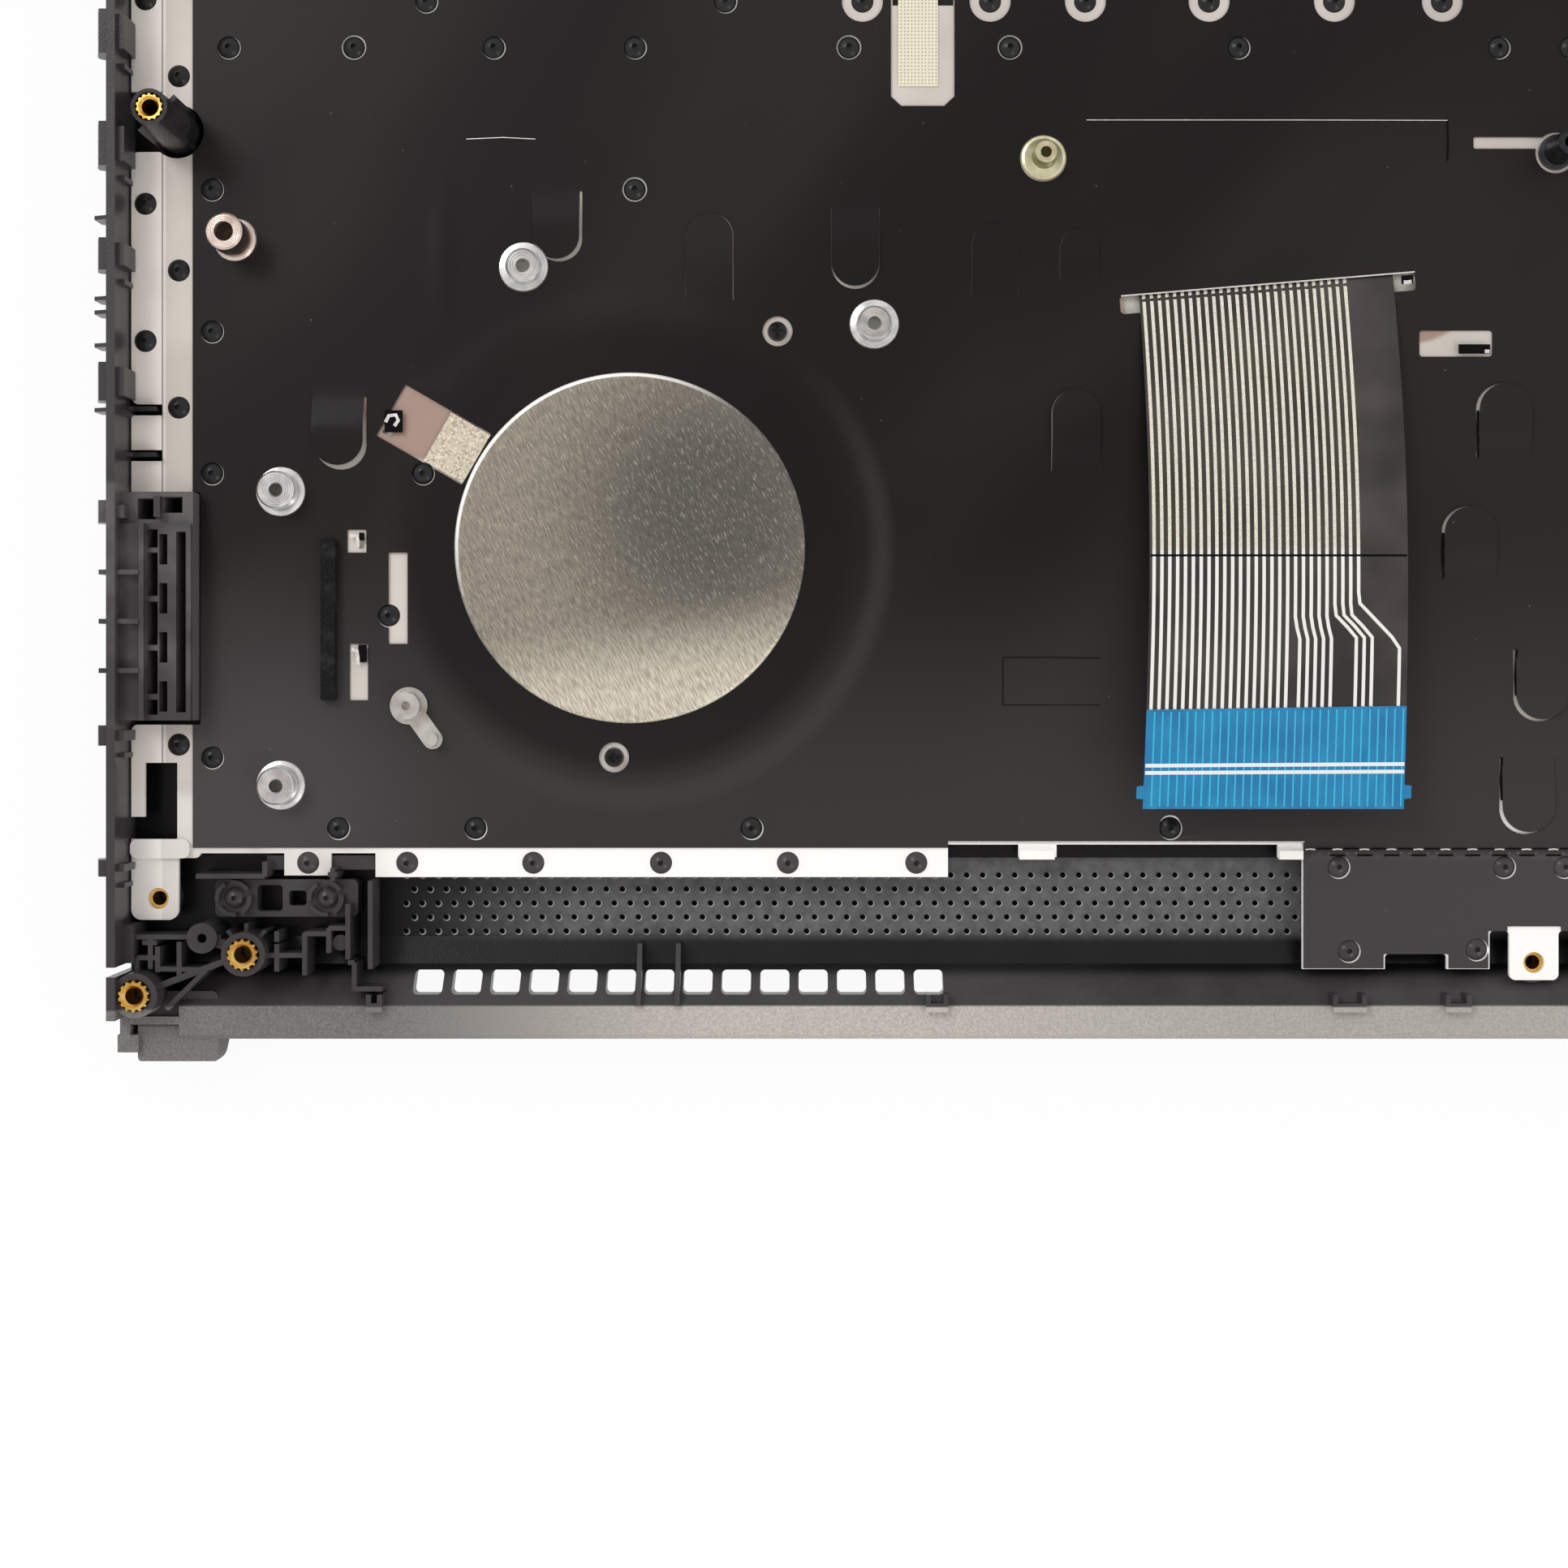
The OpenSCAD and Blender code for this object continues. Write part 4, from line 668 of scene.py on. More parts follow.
PALM_BOSSES = [(-150, 123), (-90, 123), (90, 123), (150, 123)]

# Half cut flaps of the film: x of the middle, y of the hinge line, width, length (+ towards the palm edge),
# lift, gap and the way the gap opens
FLAPS = [
    (-123.3, -21.2, 5.9, -8.6, 0.45, 0.42, (0.75, -0.66)),
    (-104.0, -35.0, 5.9, 11.0, 0.35, 0.06, (1.0, 0.2)),
    (-85.6, -23.1, 6.0, -10.1, 0.35, 0.30, (0.0, -1.0)),
    (-68.0, -34.6, 5.8, 9.3, 0.22, 0.0, (1.0, 0.0)),
    (-57.3, -32.3, 5.0, 6.3, 0.18, 0.0, (-1.0, 0.0)),
    (-57.8, -56.5, 6.0, 10.2, 0.75, 0.05, (-1.0, 0.3)),
    (-3.7, -54.8, 6.6, 9.3, 0.55, 0.32, (-1.0, 0.0)),
    (-8.1, -70.0, 6.6, 9.0, 0.55, 0.26, (-1.0, 0.0)),
    (0.95, -79.0, 6.6, -8.8, 0.35, 0.40, (-0.8, -0.6)),
    (-0.8, -92.7, 6.6, -9.3, 0.35, 0.40, (-0.8, -0.6)),
    (-150.8, -47.1, 6.5, -8.7, 0.70, 0.62, (0.6, -0.8)),
]


def flap_outline(flap, grow):
    """The flap's free edge: down one side, round its end and up the other.

    It is set outwards by grow plus a share of the gap, as far as outwards is the way the gap opens.
    """
    x, y, width, length, _, gap, way = flap
    sign = 1 if length > 0 else -1
    r = width / 2
    body = max(abs(length) - r, 0.5)
    a = np.linspace(0, math.pi, 17)
    round_end = np.stack([np.cos(a), np.sin(a)], -1)
    sides = np.linspace(0, 1, 5)[:-1]
    right = np.stack([np.full(4, r), sides * body], -1)
    left = np.stack([np.full(4, -r), sides[::-1] * body], -1)
    path = np.concatenate([right, round_end * r + (0, body), left])
    out = np.concatenate([np.tile([1.0, 0.0], (4, 1)), round_end, np.tile([-1.0, 0.0], (4, 1))])
    way = np.array(way) * (1, sign)
    open_by = grow + (gap * np.clip(out @ (way / np.linalg.norm(way)), 0, 1) ** 1.5 if grow else 0)
    path = path + out * np.reshape(open_by, (-1, 1)) if grow else path
    return path * (1, sign) + (x, y)


def flap_lift(p):
    """Height of the flaps over the film's plane: lift ((r^2 (3 - 2 r) + r) / 2 - d / 4).

    r goes from 0 to 1 over the first 0.45 of the flap's length, and d over the last 0.4, where it droops.
    """
    z = np.zeros(len(p))
    for flap in FLAPS:
        _, y, _, length, lift, _, _ = flap
        hit = inside(flap_outline(flap, 0.03), p)
        t = np.clip((p[:, 1] - y) / length, 0, 1)
        ramp = np.clip(t / 0.45, 0, 1)
        dip = np.clip((t - 0.6) / 0.4, 0, 1)
        z = np.where(hit, lift * (ramp * ramp * (3 - 2 * ramp) * 0.5 + ramp * 0.5) - 0.25 * lift * dip, z)
    return z


def film_height(p):
    """Top of the film: its plane, swells, a raised field round the disc, the bracket's fold, the flaps."""
    x, y = p[:, 0], p[:, 1]
    swell = 0.05 * (np.sin(x / 17 + y / 29) + np.sin(x / 41 - y / 13 + 1.3)) + 0.1
    ring = np.hypot(x - DISC[0], y - DISC[1])
    emboss = 0.10 / (1 + np.exp(np.clip((ring - 31.7) / 0.35, -40, 40)))
    fold = 0.34 * np.exp(-(((y - (FILM_REAR - 0.5)) / 0.55) ** 2)) * (np.abs(x) < BRACKET_X)
    lift = flap_lift(p)
    bulge = 0.14 * np.exp(-(((x + 137.7) / 0.8) ** 2)) * np.clip(1 - np.abs(y + 29) / 12, 0, 1)
    soft = (swell * 0.4 + emboss + bulge) * (y > FILM_REAR + 1)
    return FILM_TOP + np.where(lift > 0, lift, 0) + soft + fold


def film_loops():
    """The film's outline and its cut-outs, as closed loops in the plane."""
    half = [
        (-BRACKET_X, BRACKET_REAR), (-19.0, BRACKET_REAR), (-19.0, BRACKET_REAR + 1.8),
        (-10.8, BRACKET_REAR + 1.8), (-10.8, BRACKET_REAR), (-5.8, BRACKET_REAR),
        (-5.8, BRACKET_REAR + 4.7), (-3.4, BRACKET_REAR + 4.7), (-3.4, BRACKET_REAR + 5.3),
    ]
    open_angle = math.acos((FILM_X + TALL_BOSS[0]) / -BOSS_CLEAR)
    a = np.linspace(open_angle, -open_angle, 9)
    boss_x, boss_y = TALL_BOSS
    boss = np.stack([boss_x + BOSS_CLEAR * np.cos(a), boss_y + BOSS_CLEAR * np.sin(a)], -1).tolist()
    start = [(-FILM_X, FILM_FRONT), *boss, (-FILM_X, COMB_FRONT), (-COMB_X, COMB_FRONT), (-COMB_X, COMB_REAR),
             (-FILM_X, COMB_REAR), (-FILM_X, FILM_REAR), (-73.9, FILM_REAR), (-73.9, FILM_REAR + 0.7),
             (-BRACKET_X, FILM_REAR + 0.7)]
    left = start + half
    right = [(-x, y) for x, y in left[::-1]]
    window = [(-73.1, FILM_FRONT), (-73.1, FRONT_BAR - 6.2), (-74.4, FRONT_BAR - 7.4),
              (-79.8, FRONT_BAR - 7.4), (-81.1, FRONT_BAR - 6.2), (-81.1, FILM_FRONT)]
    outline = np.array(left + right + window, float)
    holes = []
    for i, (x, y) in enumerate(STAKES + BRACKET_STAKES):
        off, r = (0.0, 1.57) if i in FULL_RINGS else (0.09, 1.46)
        holes += [circle(x + off, y - off, r), circle(-x + off, y - off, r)]
    for x, y in RING_STAKES:
        holes += [circle(x, y, 2.6, 36), circle(-x, y, 2.6, 36)]
    for x, y in SCREWS:
        holes += [circle(x, y, 1.9), circle(-x, y, 1.9)]
    holes += [circle(x, y, 3.15, 36) for x, y in FLANGES]
    holes += [circle(*TALL, 2.75, 36), circle(*YELLOW, 2.95, 36)]
    holes += [circle(*POST, 2.6, 36), circle(*LOCATE, 2.0)]
    holes.append(rectangle(POST[0] - 10.4, POST[1] + 0.5, POST[0] - 1.5, POST[1] + 2.0, 0.3))
    holes.append(turn_points(rectangle(-18.7, -1.15, 18.7, 1.15, 0.5), *SLOT, SLOT_TURN))
    holes.append(turn_points(rectangle(22.3, -3.7, 34.8, 3.7), *DISC, 150))
    holes.append(rectangle(-149.6, FRONT_BAR - 63.7, -147.2, FRONT_BAR - 60.8))
    holes.append(rectangle(-144.4, FRONT_BAR - 75.2, -142.0, FRONT_BAR - 63.7))
    holes.append(rectangle(-149.3, FRONT_BAR - 82.3, -147.0, FRONT_BAR - 75.2))
    holes.append(rectangle(-14.5, FRONT_BAR - 39, -5.3, FRONT_BAR - 35.7, 0.4))
    holes.append(rectangle(-47.2, REAR_BAR - 1.2, -44.6, REAR_BAR + 1.6, 1.1))
    for flap in FLAPS:
        holes.append(np.concatenate([flap_outline(flap, 0.07), flap_outline(flap, 0)[::-1]]))
    return outline, holes


def insulating_film():
    """The film as one sheet: triangles between its outline, cut-outs and a lattice of points, then lifted."""
    outline, holes = film_loops()
    pitch = 1.35
    rows = np.arange(BRACKET_REAR + 0.6, FILM_FRONT, pitch)
    gx, gy = np.meshgrid(np.arange(-FILM_X + 0.7, FILM_X, pitch), rows)
    gx = gx + (np.arange(gx.shape[0])[:, None] % 2) * pitch / 2
    lattice = np.stack([gx.ravel(), gy.ravel()], -1)
    lattice = lattice[inside(outline, lattice)]
    for loop in [outline, *holes]:
        lattice = lattice[far_from(loop, lattice, 0.35)]
    fine = []
    for flap in FLAPS:
        x, y, width, length = flap[:4]
        rows = y + np.linspace(0, 1, 15) * length
        fx, fy = np.meshgrid(np.linspace(x - width / 2, x + width / 2, 10), rows)
        fine.append(np.stack([fx.ravel(), fy.ravel()], -1))
    fold_x, fold_y = np.meshgrid(np.arange(-28.2, 28.3, 1.2), FILM_REAR - 0.5 + np.linspace(-1.4, 1.4, 9))
    fine.append(np.stack([fold_x.ravel(), fold_y.ravel()], -1))
    fine = np.concatenate(fine)
    for loop in [outline, *holes]:
        fine = fine[far_from(loop, fine, 0.18)]
    points, edges = [], []
    for loop in [outline, *holes]:
        first = sum(len(p) for p in points)
        k = np.arange(len(loop))
        edges.append(np.stack([k, (k + 1) % len(loop)], -1) + first)
        points.append(loop)
    points = np.concatenate(points + [lattice, fine])
    edges = np.concatenate(edges)
    found = delaunay_2d_cdt([Vector(p) for p in points.tolist()], edges.tolist(), [], 0, 1e-5)
    flat = np.array([tuple(v) for v in found[0]])
    faces = np.array([f for f in found[2] if len(f) == 3])
    middle = flat[faces].mean(1)
    keep = inside(outline, middle)
    for loop in holes:
        keep &= ~inside(loop, middle)
    faces = faces[keep]
    used, faces = np.unique(faces, return_inverse=True)
    faces = faces.reshape(-1, 3)
    flat = flat[used]
    a, b, c = (flat[faces[:, i]] for i in range(3))
    turn = (b[:, 0] - a[:, 0]) * (c[:, 1] - a[:, 1]) - (b[:, 1] - a[:, 1]) * (c[:, 0] - a[:, 0])
    faces = np.where(turn[:, None] > 0, faces, faces[:, ::-1])
    top = np.column_stack([flat, film_height(flat)])
    under = top - (0, 0, FILM_THICK)
    n = len(top)
    directed = np.concatenate([faces[:, [0, 1]], faces[:, [1, 2]], faces[:, [2, 0]]])
    keys = directed[:, 0] * n + directed[:, 1]
    back = directed[:, 1] * n + directed[:, 0]
    rim = directed[~np.isin(keys, back)]
    quads = np.stack([rim[:, 1], rim[:, 0], rim[:, 0] + n, rim[:, 1] + n], -1)
    all_faces = [tuple(f) for f in np.concatenate([faces, faces[:, ::-1] + n]).tolist()]
    all_faces += [tuple(f) for f in quads.tolist()]
    piece("film_sheet", np.concatenate([top, under]), all_faces, black_film(), "film_black",
          ("insulating_film",), sharp=50)


insulating_film()


# ---------------------------------------------------------------- ribbon
RIBBON_Y0 = SLOT[1] + 3.4
RIBBON_END = low("ribbon_cable")[1]
RIBBON_LEN = RIBBON_Y0 - RIBBON_END
RIBBON_W = 32.0
STIFF = 12.4


def ribbon_point(along, across, lift=0.0):
    """A point on the ribbon's face: along from the slot, across from its left edge.

    It rises evenly to its free end with a shallow arch: z = z0 + 8 t + 0.8 sin(pi t) + cup. Its edges bow
    sideways, and it leaves the slot on a slant.
    """
    along, across = np.broadcast_arrays(np.asarray(along, float), np.asarray(across, float))
    t = along / RIBBON_LEN
    bow = 1.2 * np.sin(np.pi * np.clip(t, 0, 1)) * (1 - 0.25 * t)
    x = SLOT[0] - 0.3 - RIBBON_W / 2 + across + bow - 0.6 * t
    slant = math.tan(math.radians(SLOT_TURN))
    y = RIBBON_Y0 - along + (across - RIBBON_W / 2) * slant * (1 - np.clip(t, 0, 1))
    cup = 0.35 * ((across / RIBBON_W - 0.5) ** 2 - 0.1) * np.clip(t * 3, 0, 1)
    z = 5.45 + 8.0 * t + 0.8 * np.sin(np.pi * t) - 0.3 * np.clip(1 - along / 3.2, 0, 1) + cup + lift
    return np.stack([x, y, z], -1)


def ribbon():
    """The ribbon's film, its printed traces, some of which jog to the right, and a painted shadow line for
    its crease.
    """
    s, a = np.meshgrid(np.linspace(-2, RIBBON_LEN, 56), np.linspace(0, RIBBON_W, 25), indexing="ij")
    points, faces = thick_sheet(ribbon_point(s, a), 0.12)
    piece("ribbon_film", points, faces, printed_film(), "ribbon_film", ("ribbon_cable",))
    lines = []
    count = 27
    margin = 0.55
    step = 0.975
    jog_at = RIBBON_LEN * 0.665
    for i in range(count):
        across = margin + i * step
        s = np.linspace(1.0, RIBBON_LEN - STIFF, 40)
        shift = np.zeros_like(s)
        if 18 <= i < 23:
            shift = np.clip((s - jog_at) / 1.5, 0, 1) * 0.6
        elif 23 <= i < 26:
            shift = np.clip((s - jog_at + 1.0) / 2.8, 0, 1) * 2.7
        elif i == 26:
            shift = np.clip((s - jog_at + 2.4) / 5.4, 0, 1) * 5.1
        lines.append((ribbon_point(s, across + shift, 0.02), 0.42))
    cross = np.linspace(0.1, RIBBON_W - 0.1, 20)
    level = RIBBON_LEN * 0.54 + (cross - RIBBON_W / 2) * 0.038
    piece("ribbon_traces", *strips(lines), trace_silver(), "ribbon_film")
    # Painted shadow line for the crease.
    dark = [(ribbon_point(level, cross, 0.035), 0.28)]
    piece("ribbon_crease_shadow", *strips(dark), edge_shadow(), "ribbon_film")


def stiffener():
    """The blue film on the ribbon's end, with an ear on each side and printed lines across and along it."""
    rows = np.array([0, 1.2, 1.3, 2.8, 2.9, 6, 9, STIFF])
    ears = np.array([0, 0, 0.85, 0.85, 0, 0, 0, 0])
    u = np.linspace(0, 1, 25)
    along = np.repeat((RIBBON_LEN - rows)[:, None], 25, 1)
    across = -ears[:, None] + u * (RIBBON_W + 2 * ears[:, None])
    points, faces = thick_sheet(ribbon_point(along, across, 0.16)[::-1], 0.15)
    piece("stiffener_film", points, faces, blue_stiffener(), "stiffener_blue", ("ribbon_stiffener",))
    s = np.linspace(RIBBON_LEN - STIFF + 0.3, RIBBON_LEN - 0.3, 10)
    lines = [(ribbon_point(s, 1.0 + i * 1.02, 0.18), 0.2) for i in range(31)]
    piece("stiffener_lines", *strips(lines), cyan_print(), "stiffener_blue")
    cross = np.linspace(0.1, RIBBON_W - 0.1, 24)
    marks = [(ribbon_point(np.full(24, RIBBON_LEN - d), cross, 0.2), 0.46) for d in (5.4, 4.5)]
    piece("stiffener_marks", *strips(marks), white_print(), "stiffener_blue")


ribbon()
stiffener()


# ---------------------------------------------------------------- disc, inserts and small marks
def shield_disc():
    """A shallow pressed disc: level to its rim, then rolled down to the film."""
    r = DISC_R
    face = FILM_TOP + 0.46
    t = np.linspace(0, 1, 7)
    roll = np.stack([r - 0.75 + 0.75 * np.sin(t * TAU / 4), FILM_TOP + 0.12 + 0.34 * np.cos(t * TAU / 4)], -1)
    profile = [(0.01, face), (7, face), (14, face), (r - 1.6, face)]
    profile += [tuple(p) for p in roll] + [(r, FILM_TOP + 0.01), (0.01, FILM_TOP + 0.01)]
    points, faces = turned(profile[::-1], [DISC], 128)
    piece("pressed_disc", points, faces, brushed_disc(), "disc_steel", ("shield_disc",), sharp=60)


def knurled_inserts(name, material, slot, nodes, groups):
    """Brass inserts: knurled collars with straight teeth, a groove between them and a chamfered bore."""
    points, faces, start = [], [], 0
    for places, r, bore, top, length in groups:
        profile = [(bore, top - length), (bore, top - 0.3), (bore + 0.28, top), (r - 0.12, top),
                   (r, top - 0.15), (r, top - 1.4), (r - 0.3, top - 1.6), (r - 0.3, top - length + 1.2),
                   (r, top - length + 1.0), (r, top - length)]

        def teeth(angle, row):
            return np.where((row >= 3) & (row <= 5), 1 - 0.11 * np.clip(0.5 + np.cos(angle * 14), 0, 1), 1.0)

        p, f = turned(profile, places, 96, teeth)
        points.append(p)
        faces.append(f + start)
        start += len(p)
    piece(name, np.concatenate(points), np.concatenate(faces), material, slot, nodes)


def dash(x, y, steps, rises, height):
    """A short line of three points round x, y."""
    return [(x + step, y + rise, height) for step, rise in zip(steps, rises)]


def film_marks():
    """Fine cuts in the film as strips: painted highlights where the edge catches the light and painted shadow
    where it doesn't.
    """
    z = FILM_TOP + 0.14
    # Painted highlights along cut edges.
    bright = [
        ([(-52.1, -34.47, z), (-33.6, -32.95, z), (-15.1, -31.43, z)], 0.17),
        ([(-134.6, -14.7, z), (-130, -14.5, z), (-125.9, -14.7, z)], 0.1),
        ([(-56.5, -12.3, z), (-30, -12.3, z), (-11.0, -12.35, z)], 0.09),
        ([(-73.9, FILM_REAR + 0.78, z), (-50, FILM_REAR + 0.78, z), (-29, FILM_REAR + 0.78, z)], 0.1),
    ]
    # Painted shadows in the flaps' gaps and along cuts.
    dark = [
        ([(-11.0, -12.4, z), (-10.9, -15, z), (-11.0, -17.4, z)], 0.22),
        ([(-7.15, -54.8, z), (-7.2, -51.5, z), (-7.15, -48.9, z)], 0.36),
        ([(-11.5, -70.0, z), (-11.6, -67.0, z), (-11.55, -64.3, z)], 0.36),
        ([(-2.3, -79.0, z), (-2.45, -82.5, z), (-2.35, -84.8, z)], 0.34),
        ([(-4.15, -92.6, z), (-4.25, -95.5, z), (-4.15, -98.0, z)], 0.34),
        ([(-67.0, -80.0, z), (-61, -80.0, z), (-54.8, -80.1, z)], 0.1),
        ([(-67.0, -80.0, z), (-67.0, -83, z), (-67.0, -86, z)], 0.1),
        ([(-67.0, -86.0, z), (-61, -86.0, z), (-54.8, -86.0, z)], 0.08),
    ]
    for x in np.arange(-26.5, 27, 3.4):
        y = FILM_REAR - 0.5
        # Painted highlights and painted shadows along the bracket's stitched fold.
        bright.append((dash(x, y, (-2.4, -1.7, -1.2), (0.3, 0.36, 0.3), z + 0.15), 0.16))
        bright.append((dash(x, y, (-0.7, 0, 0.7), (-0.1, -0.05, -0.1), z + 0.15), 0.12))
        dark.append((dash(x, y, (-1.0, 0, 0.9), (0.42, 0.42, 0.42), z + 0.14), 0.24))
        dark.append((dash(x, y, (0.7, 1.7, 2.6), (-0.42, -0.42, -0.42), z + 0.14), 0.24))
    plate = PLATE_TOP + 0.03
    # Painted shadow in the plate's slots.
    slots = [
        ((-143.7, -48.9), (-143.7, -51.7), 2.3), ((-147.7, -64.3), (-147.7, -65.3), 0.7),
        ((-147.6, -78.4), (-147.6, -80.6), 1.1), ((-16.9, -32.5), (-15.4, -32.4), 1.1),
        ((-9.7, -41.2), (-5.7, -41.2), 1.2),
    ]
    for start, end, width in slots:
        dark.append((np.linspace((*start, plate), (*end, plate), 3), width))
    # The plate's silver hooks, in the bright edge material: partly their own colour, partly painted
    # highlight.
    hooks = [
        [(-144.7, -50.4), (-144.3, -49.6), (-143.4, -49.5), (-143.1, -50.2), (-143.6, -50.9)],
        [(-149.2, -64.7), (-148.3, -64.7), (-148.2, -65.4), (-148.2, -66.1)],
        [(-149.0, -79.0), (-148.3, -79.2), (-148.2, -80.0), (-148.2, -80.9)],
        [(-16.6, -32.8), (-16.1, -32.8), (-15.6, -32.7)],
        [(-6.4, -41.5), (-6.1, -41.5), (-5.8, -41.5)],
    ]
    for hook in hooks:
        bright.append(([(x, y, plate + 0.05) for x, y in hook], 0.45))
    piece("film_cuts_lit", *strips(bright), cut_edge(), "film_black")
    piece("film_cut_shadows", *strips(dark), edge_shadow(), "film_black")


shield_disc()
brass = turned_metal("bright_brass", srgb(226, 170, 74), srgb(250, 212, 128),
                     [HINGE_A, HINGE_B, TALL_BOSS], rough=0.16)
both = [TALL_BOSS, (-TALL_BOSS[0], TALL_BOSS[1])]
knurled_inserts("boss_brass", brass, "insert_brass", ("boss_inserts",), [
    (both, 1.72, 0.95, high("boss_inserts")[2], 3.9),
    (PALM_BOSSES, 1.97, 1.05, 8.0, 3.9),
])
knurled_inserts("hinge_brass", brass, "insert_brass", ("hinge_inserts",), [
    ([HINGE_A, (-HINGE_A[0], HINGE_A[1])], 1.97, 1.05, PLATE_TOP + 4, 3.9),
    ([HINGE_B, (-HINGE_B[0], HINGE_B[1])], 1.97, 1.05, PLATE_TOP + 5, 3.9),
])
film_marks()


# ---------------------------------------------------------------- finishes on the frame's own pieces
MEMBRANE_Z = 4.9  # the membrane's face that the domes stand on
KEY_TRAVEL = 1.5


def dress(material, *nodes):
    """Gives these nodes of the frame a material in place of their own."""
    for name in nodes:
        made = frame["nodes"][name]
        if not made.material_slots:
            made.data.materials.append(material)
        for slot in made.material_slots:
            slot.material = material


dress(moulded_plastic(), "palmrest_cover")
dress(sheet_steel(), "keyboard_plate")
dress(speckled_cloth(), "disc_earth_tape")
dress(woven_cloth(), "earth_cloth_strip")
dress(turned_metal("zinc_plate", srgb(206, 206, 206), srgb(236, 236, 234),
                   FLANGES, 0.3, 0.2), "flange_standoffs")
# The rosy tint of this nickel is a painted reflection.
dress(turned_metal("rosy_nickel", srgb(206, 186, 176), srgb(228, 212, 202),
                   [TALL], 0.2, 0.16), "tall_standoff")
dress(turned_metal("yellow_brass", srgb(214, 206, 160), srgb(240, 236, 206),
                   [YELLOW], 0.2, 0.24), "brass_standoff")
dress(turned_metal("blackened_steel", srgb(30, 30, 33), srgb(60, 60, 64),
                   [POST], 0.2, 0.3, 0.6), "black_post")
dress(turned_metal("nickel_plate", srgb(200, 198, 192), srgb(226, 224, 220),
                   [LOCATE, PIN], 0.2, 0.24), "locating_plate")
dress(brass, "bracket_inserts")
dress(porous_foam(), "gasket_strip")
dress(turned_metal("black_zinc", srgb(26, 26, 28), srgb(58, 57, 60), SCREWS, 0.2, 0.28, 0.8), "plate_screws")
dress(plain_plastic("clear_membrane", srgb(186, 186, 176), srgb(214, 214, 204), 0.25, 0.6, 0.004),
      "membrane_sheet")


def flatten_under_keys(node, name, material, slot):
    """Splits a node of the case: a piece for each moving key and one for the others.

    For each key's piece it works out k = 1 - travel / (z0 - lowest z), with z0 the membrane's face, and does
    not use it.
    """
    source = frame["nodes"][node].data
    points = np.array([tuple(v.co) for v in source.vertices]) / MM
    faces = [tuple(f.vertices) for f in source.polygons]
    middles = np.array([points[list(f)].mean(axis=0) for f in faces])

    def cut_out(chosen, ending):
        kept = [faces[i] for i in np.flatnonzero(chosen)]
        used = sorted({v for face in kept for v in face})
        place = {v: i for i, v in enumerate(used)}
        renumbered = [tuple(place[v] for v in face) for face in kept]
        made = piece(f"{name}_{ending}", points[used], renumbered, material, slot, (node,))
        return made, points[used][:, 2].min()

    others = np.ones(len(faces), bool)
    for joint in frame["joints"]:
        key = joint["name"].removeprefix("press_")
        least, most = np.array(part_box("key_" + key)) / MM
        under = others & ((middles[:, :2] > least[:2]) & (middles[:, :2] < most[:2])).all(axis=1)
        others &= ~under
        made, lowest = cut_out(under, key)
        float(1 - KEY_TRAVEL / (MEMBRANE_Z - lowest))
        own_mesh(made)
    cut_out(others, "others")


rubber = plain_plastic("dome_rubber", srgb(206, 200, 188), srgb(228, 222, 210), 0.55, 0.2, 0.01)
flatten_under_keys("rubber_domes", "dome", rubber, "dome_rubber")
natural = plain_plastic("link_plastic", srgb(214, 214, 212), srgb(236, 236, 234), 0.35, 0.4, 0.01)
flatten_under_keys("scissor_links", "links", natural, "link_plastic")
keys = plain_plastic("key_plastic", srgb(24, 24, 27), srgb(34, 34, 37), 0.48, 0.22, 0.03)
dress(keys, "fixed_keys", *[name for name in frame["nodes"] if name.startswith("key_")])


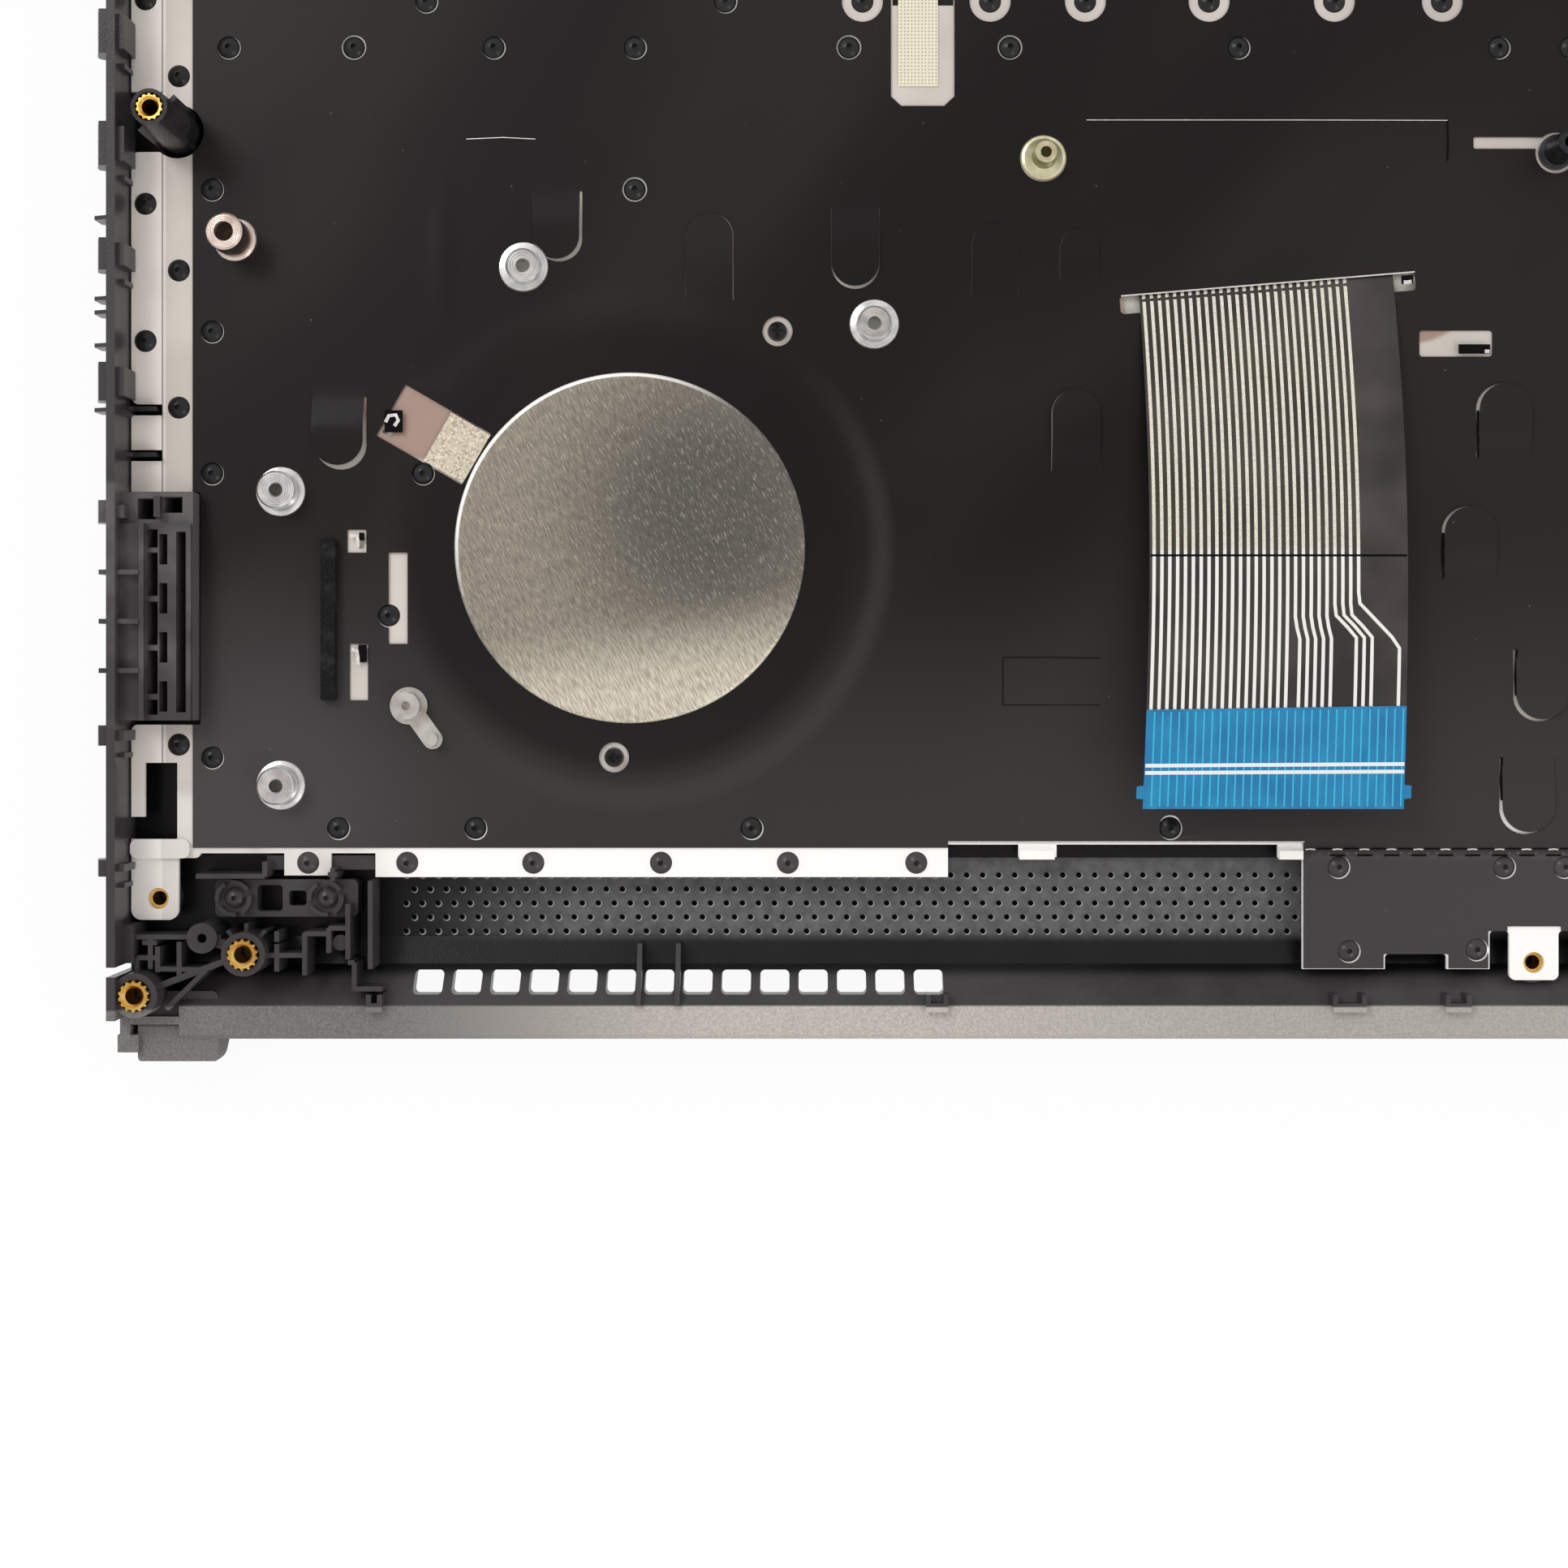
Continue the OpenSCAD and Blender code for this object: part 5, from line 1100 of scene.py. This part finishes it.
# ---------------------------------------------------------------- floor and light
def pale_floor():
    """A wide pale floor that reads white to the camera, to metal and through glass, and keeps the shadow."""
    s = Shade("pale_floor")
    rays = s.node("ShaderNodeLightPath", out="Is Camera Ray")
    glossy = s.node("ShaderNodeLightPath", out="Is Glossy Ray")
    through = s.node("ShaderNodeLightPath", out="Is Transmission Ray")
    seen = (rays + glossy + through).math("MINIMUM", 1.0)
    diffuse = s.node("ShaderNodeBsdfDiffuse", {}, {"Color": srgb(240, 240, 240)})
    glow = s.node("ShaderNodeEmission", {}, {"Color": (1, 1, 1), "Strength": 1.0})
    blend = s.node("ShaderNodeMixShader", {}, {0: seen * 0.93, 1: diffuse, 2: glow})
    s.node_out(blend, "ShaderNodeOutputMaterial")
    mesh = bpy.data.meshes.new("floor")
    reach, level = 3, -0.0002
    corners = [(-reach, -reach, level), (reach, -reach, level), (reach, reach, level), (-reach, reach, level)]
    mesh.from_pydata(corners, [], [(0, 1, 2, 3)])
    mesh.materials.append(s.material)
    floor = bpy.data.objects.new("floor", mesh)
    scene.collection.objects.link(floor)


def room_light():
    """A bright room with a dimmer, warmer patch straight overhead, and white to the camera."""
    world = bpy.data.worlds.new("room")
    world.use_nodes = True
    scene.world = world
    s = Shade("room", world.node_tree)
    up = s.node("ShaderNodeSeparateXYZ", {}, {0: s.node("ShaderNodeTexCoord", out="Generated")}, out="Z")
    sky = s.node("ShaderNodeValToRGB", {"stops": [
        (0.0, (0.92, 0.92, 0.92)), (0.78, (0.92, 0.915, 0.91)),
        (0.93, (0.72, 0.68, 0.66)), (0.99, (0.47, 0.405, 0.38)),
    ]}, {0: up})
    camera = s.node("ShaderNodeLightPath", out="Is Camera Ray")
    light = s.node("ShaderNodeBackground", {}, {"Color": sky, "Strength": 0.95})
    white = s.node("ShaderNodeBackground", {}, {"Color": (1, 1, 1), "Strength": 1.0})
    s.node_out(s.node("ShaderNodeMixShader", {}, {0: camera, 1: light, 2: white}), "ShaderNodeOutputWorld")


def soft_lamp(name, place, target, size, power):
    """A square lamp of size metres and power watts, turned to its target."""
    lamp = bpy.data.lights.new(name, "AREA")
    lamp.size = size
    lamp.energy = power
    made = bpy.data.objects.new(name, lamp)
    made.location = place
    made.rotation_euler = (Vector(target) - Vector(place)).to_track_quat("-Z", "Y").to_euler()
    scene.collection.objects.link(made)


pale_floor()
room_light()
soft_lamp("window_light", (-0.60, 0.38, 0.75), (-0.09, -0.08, 0), 0.34, 2.6)
soft_lamp("fill_light", (0.42, -0.62, 0.62), (-0.09, -0.08, 0), 0.26, 1.2)
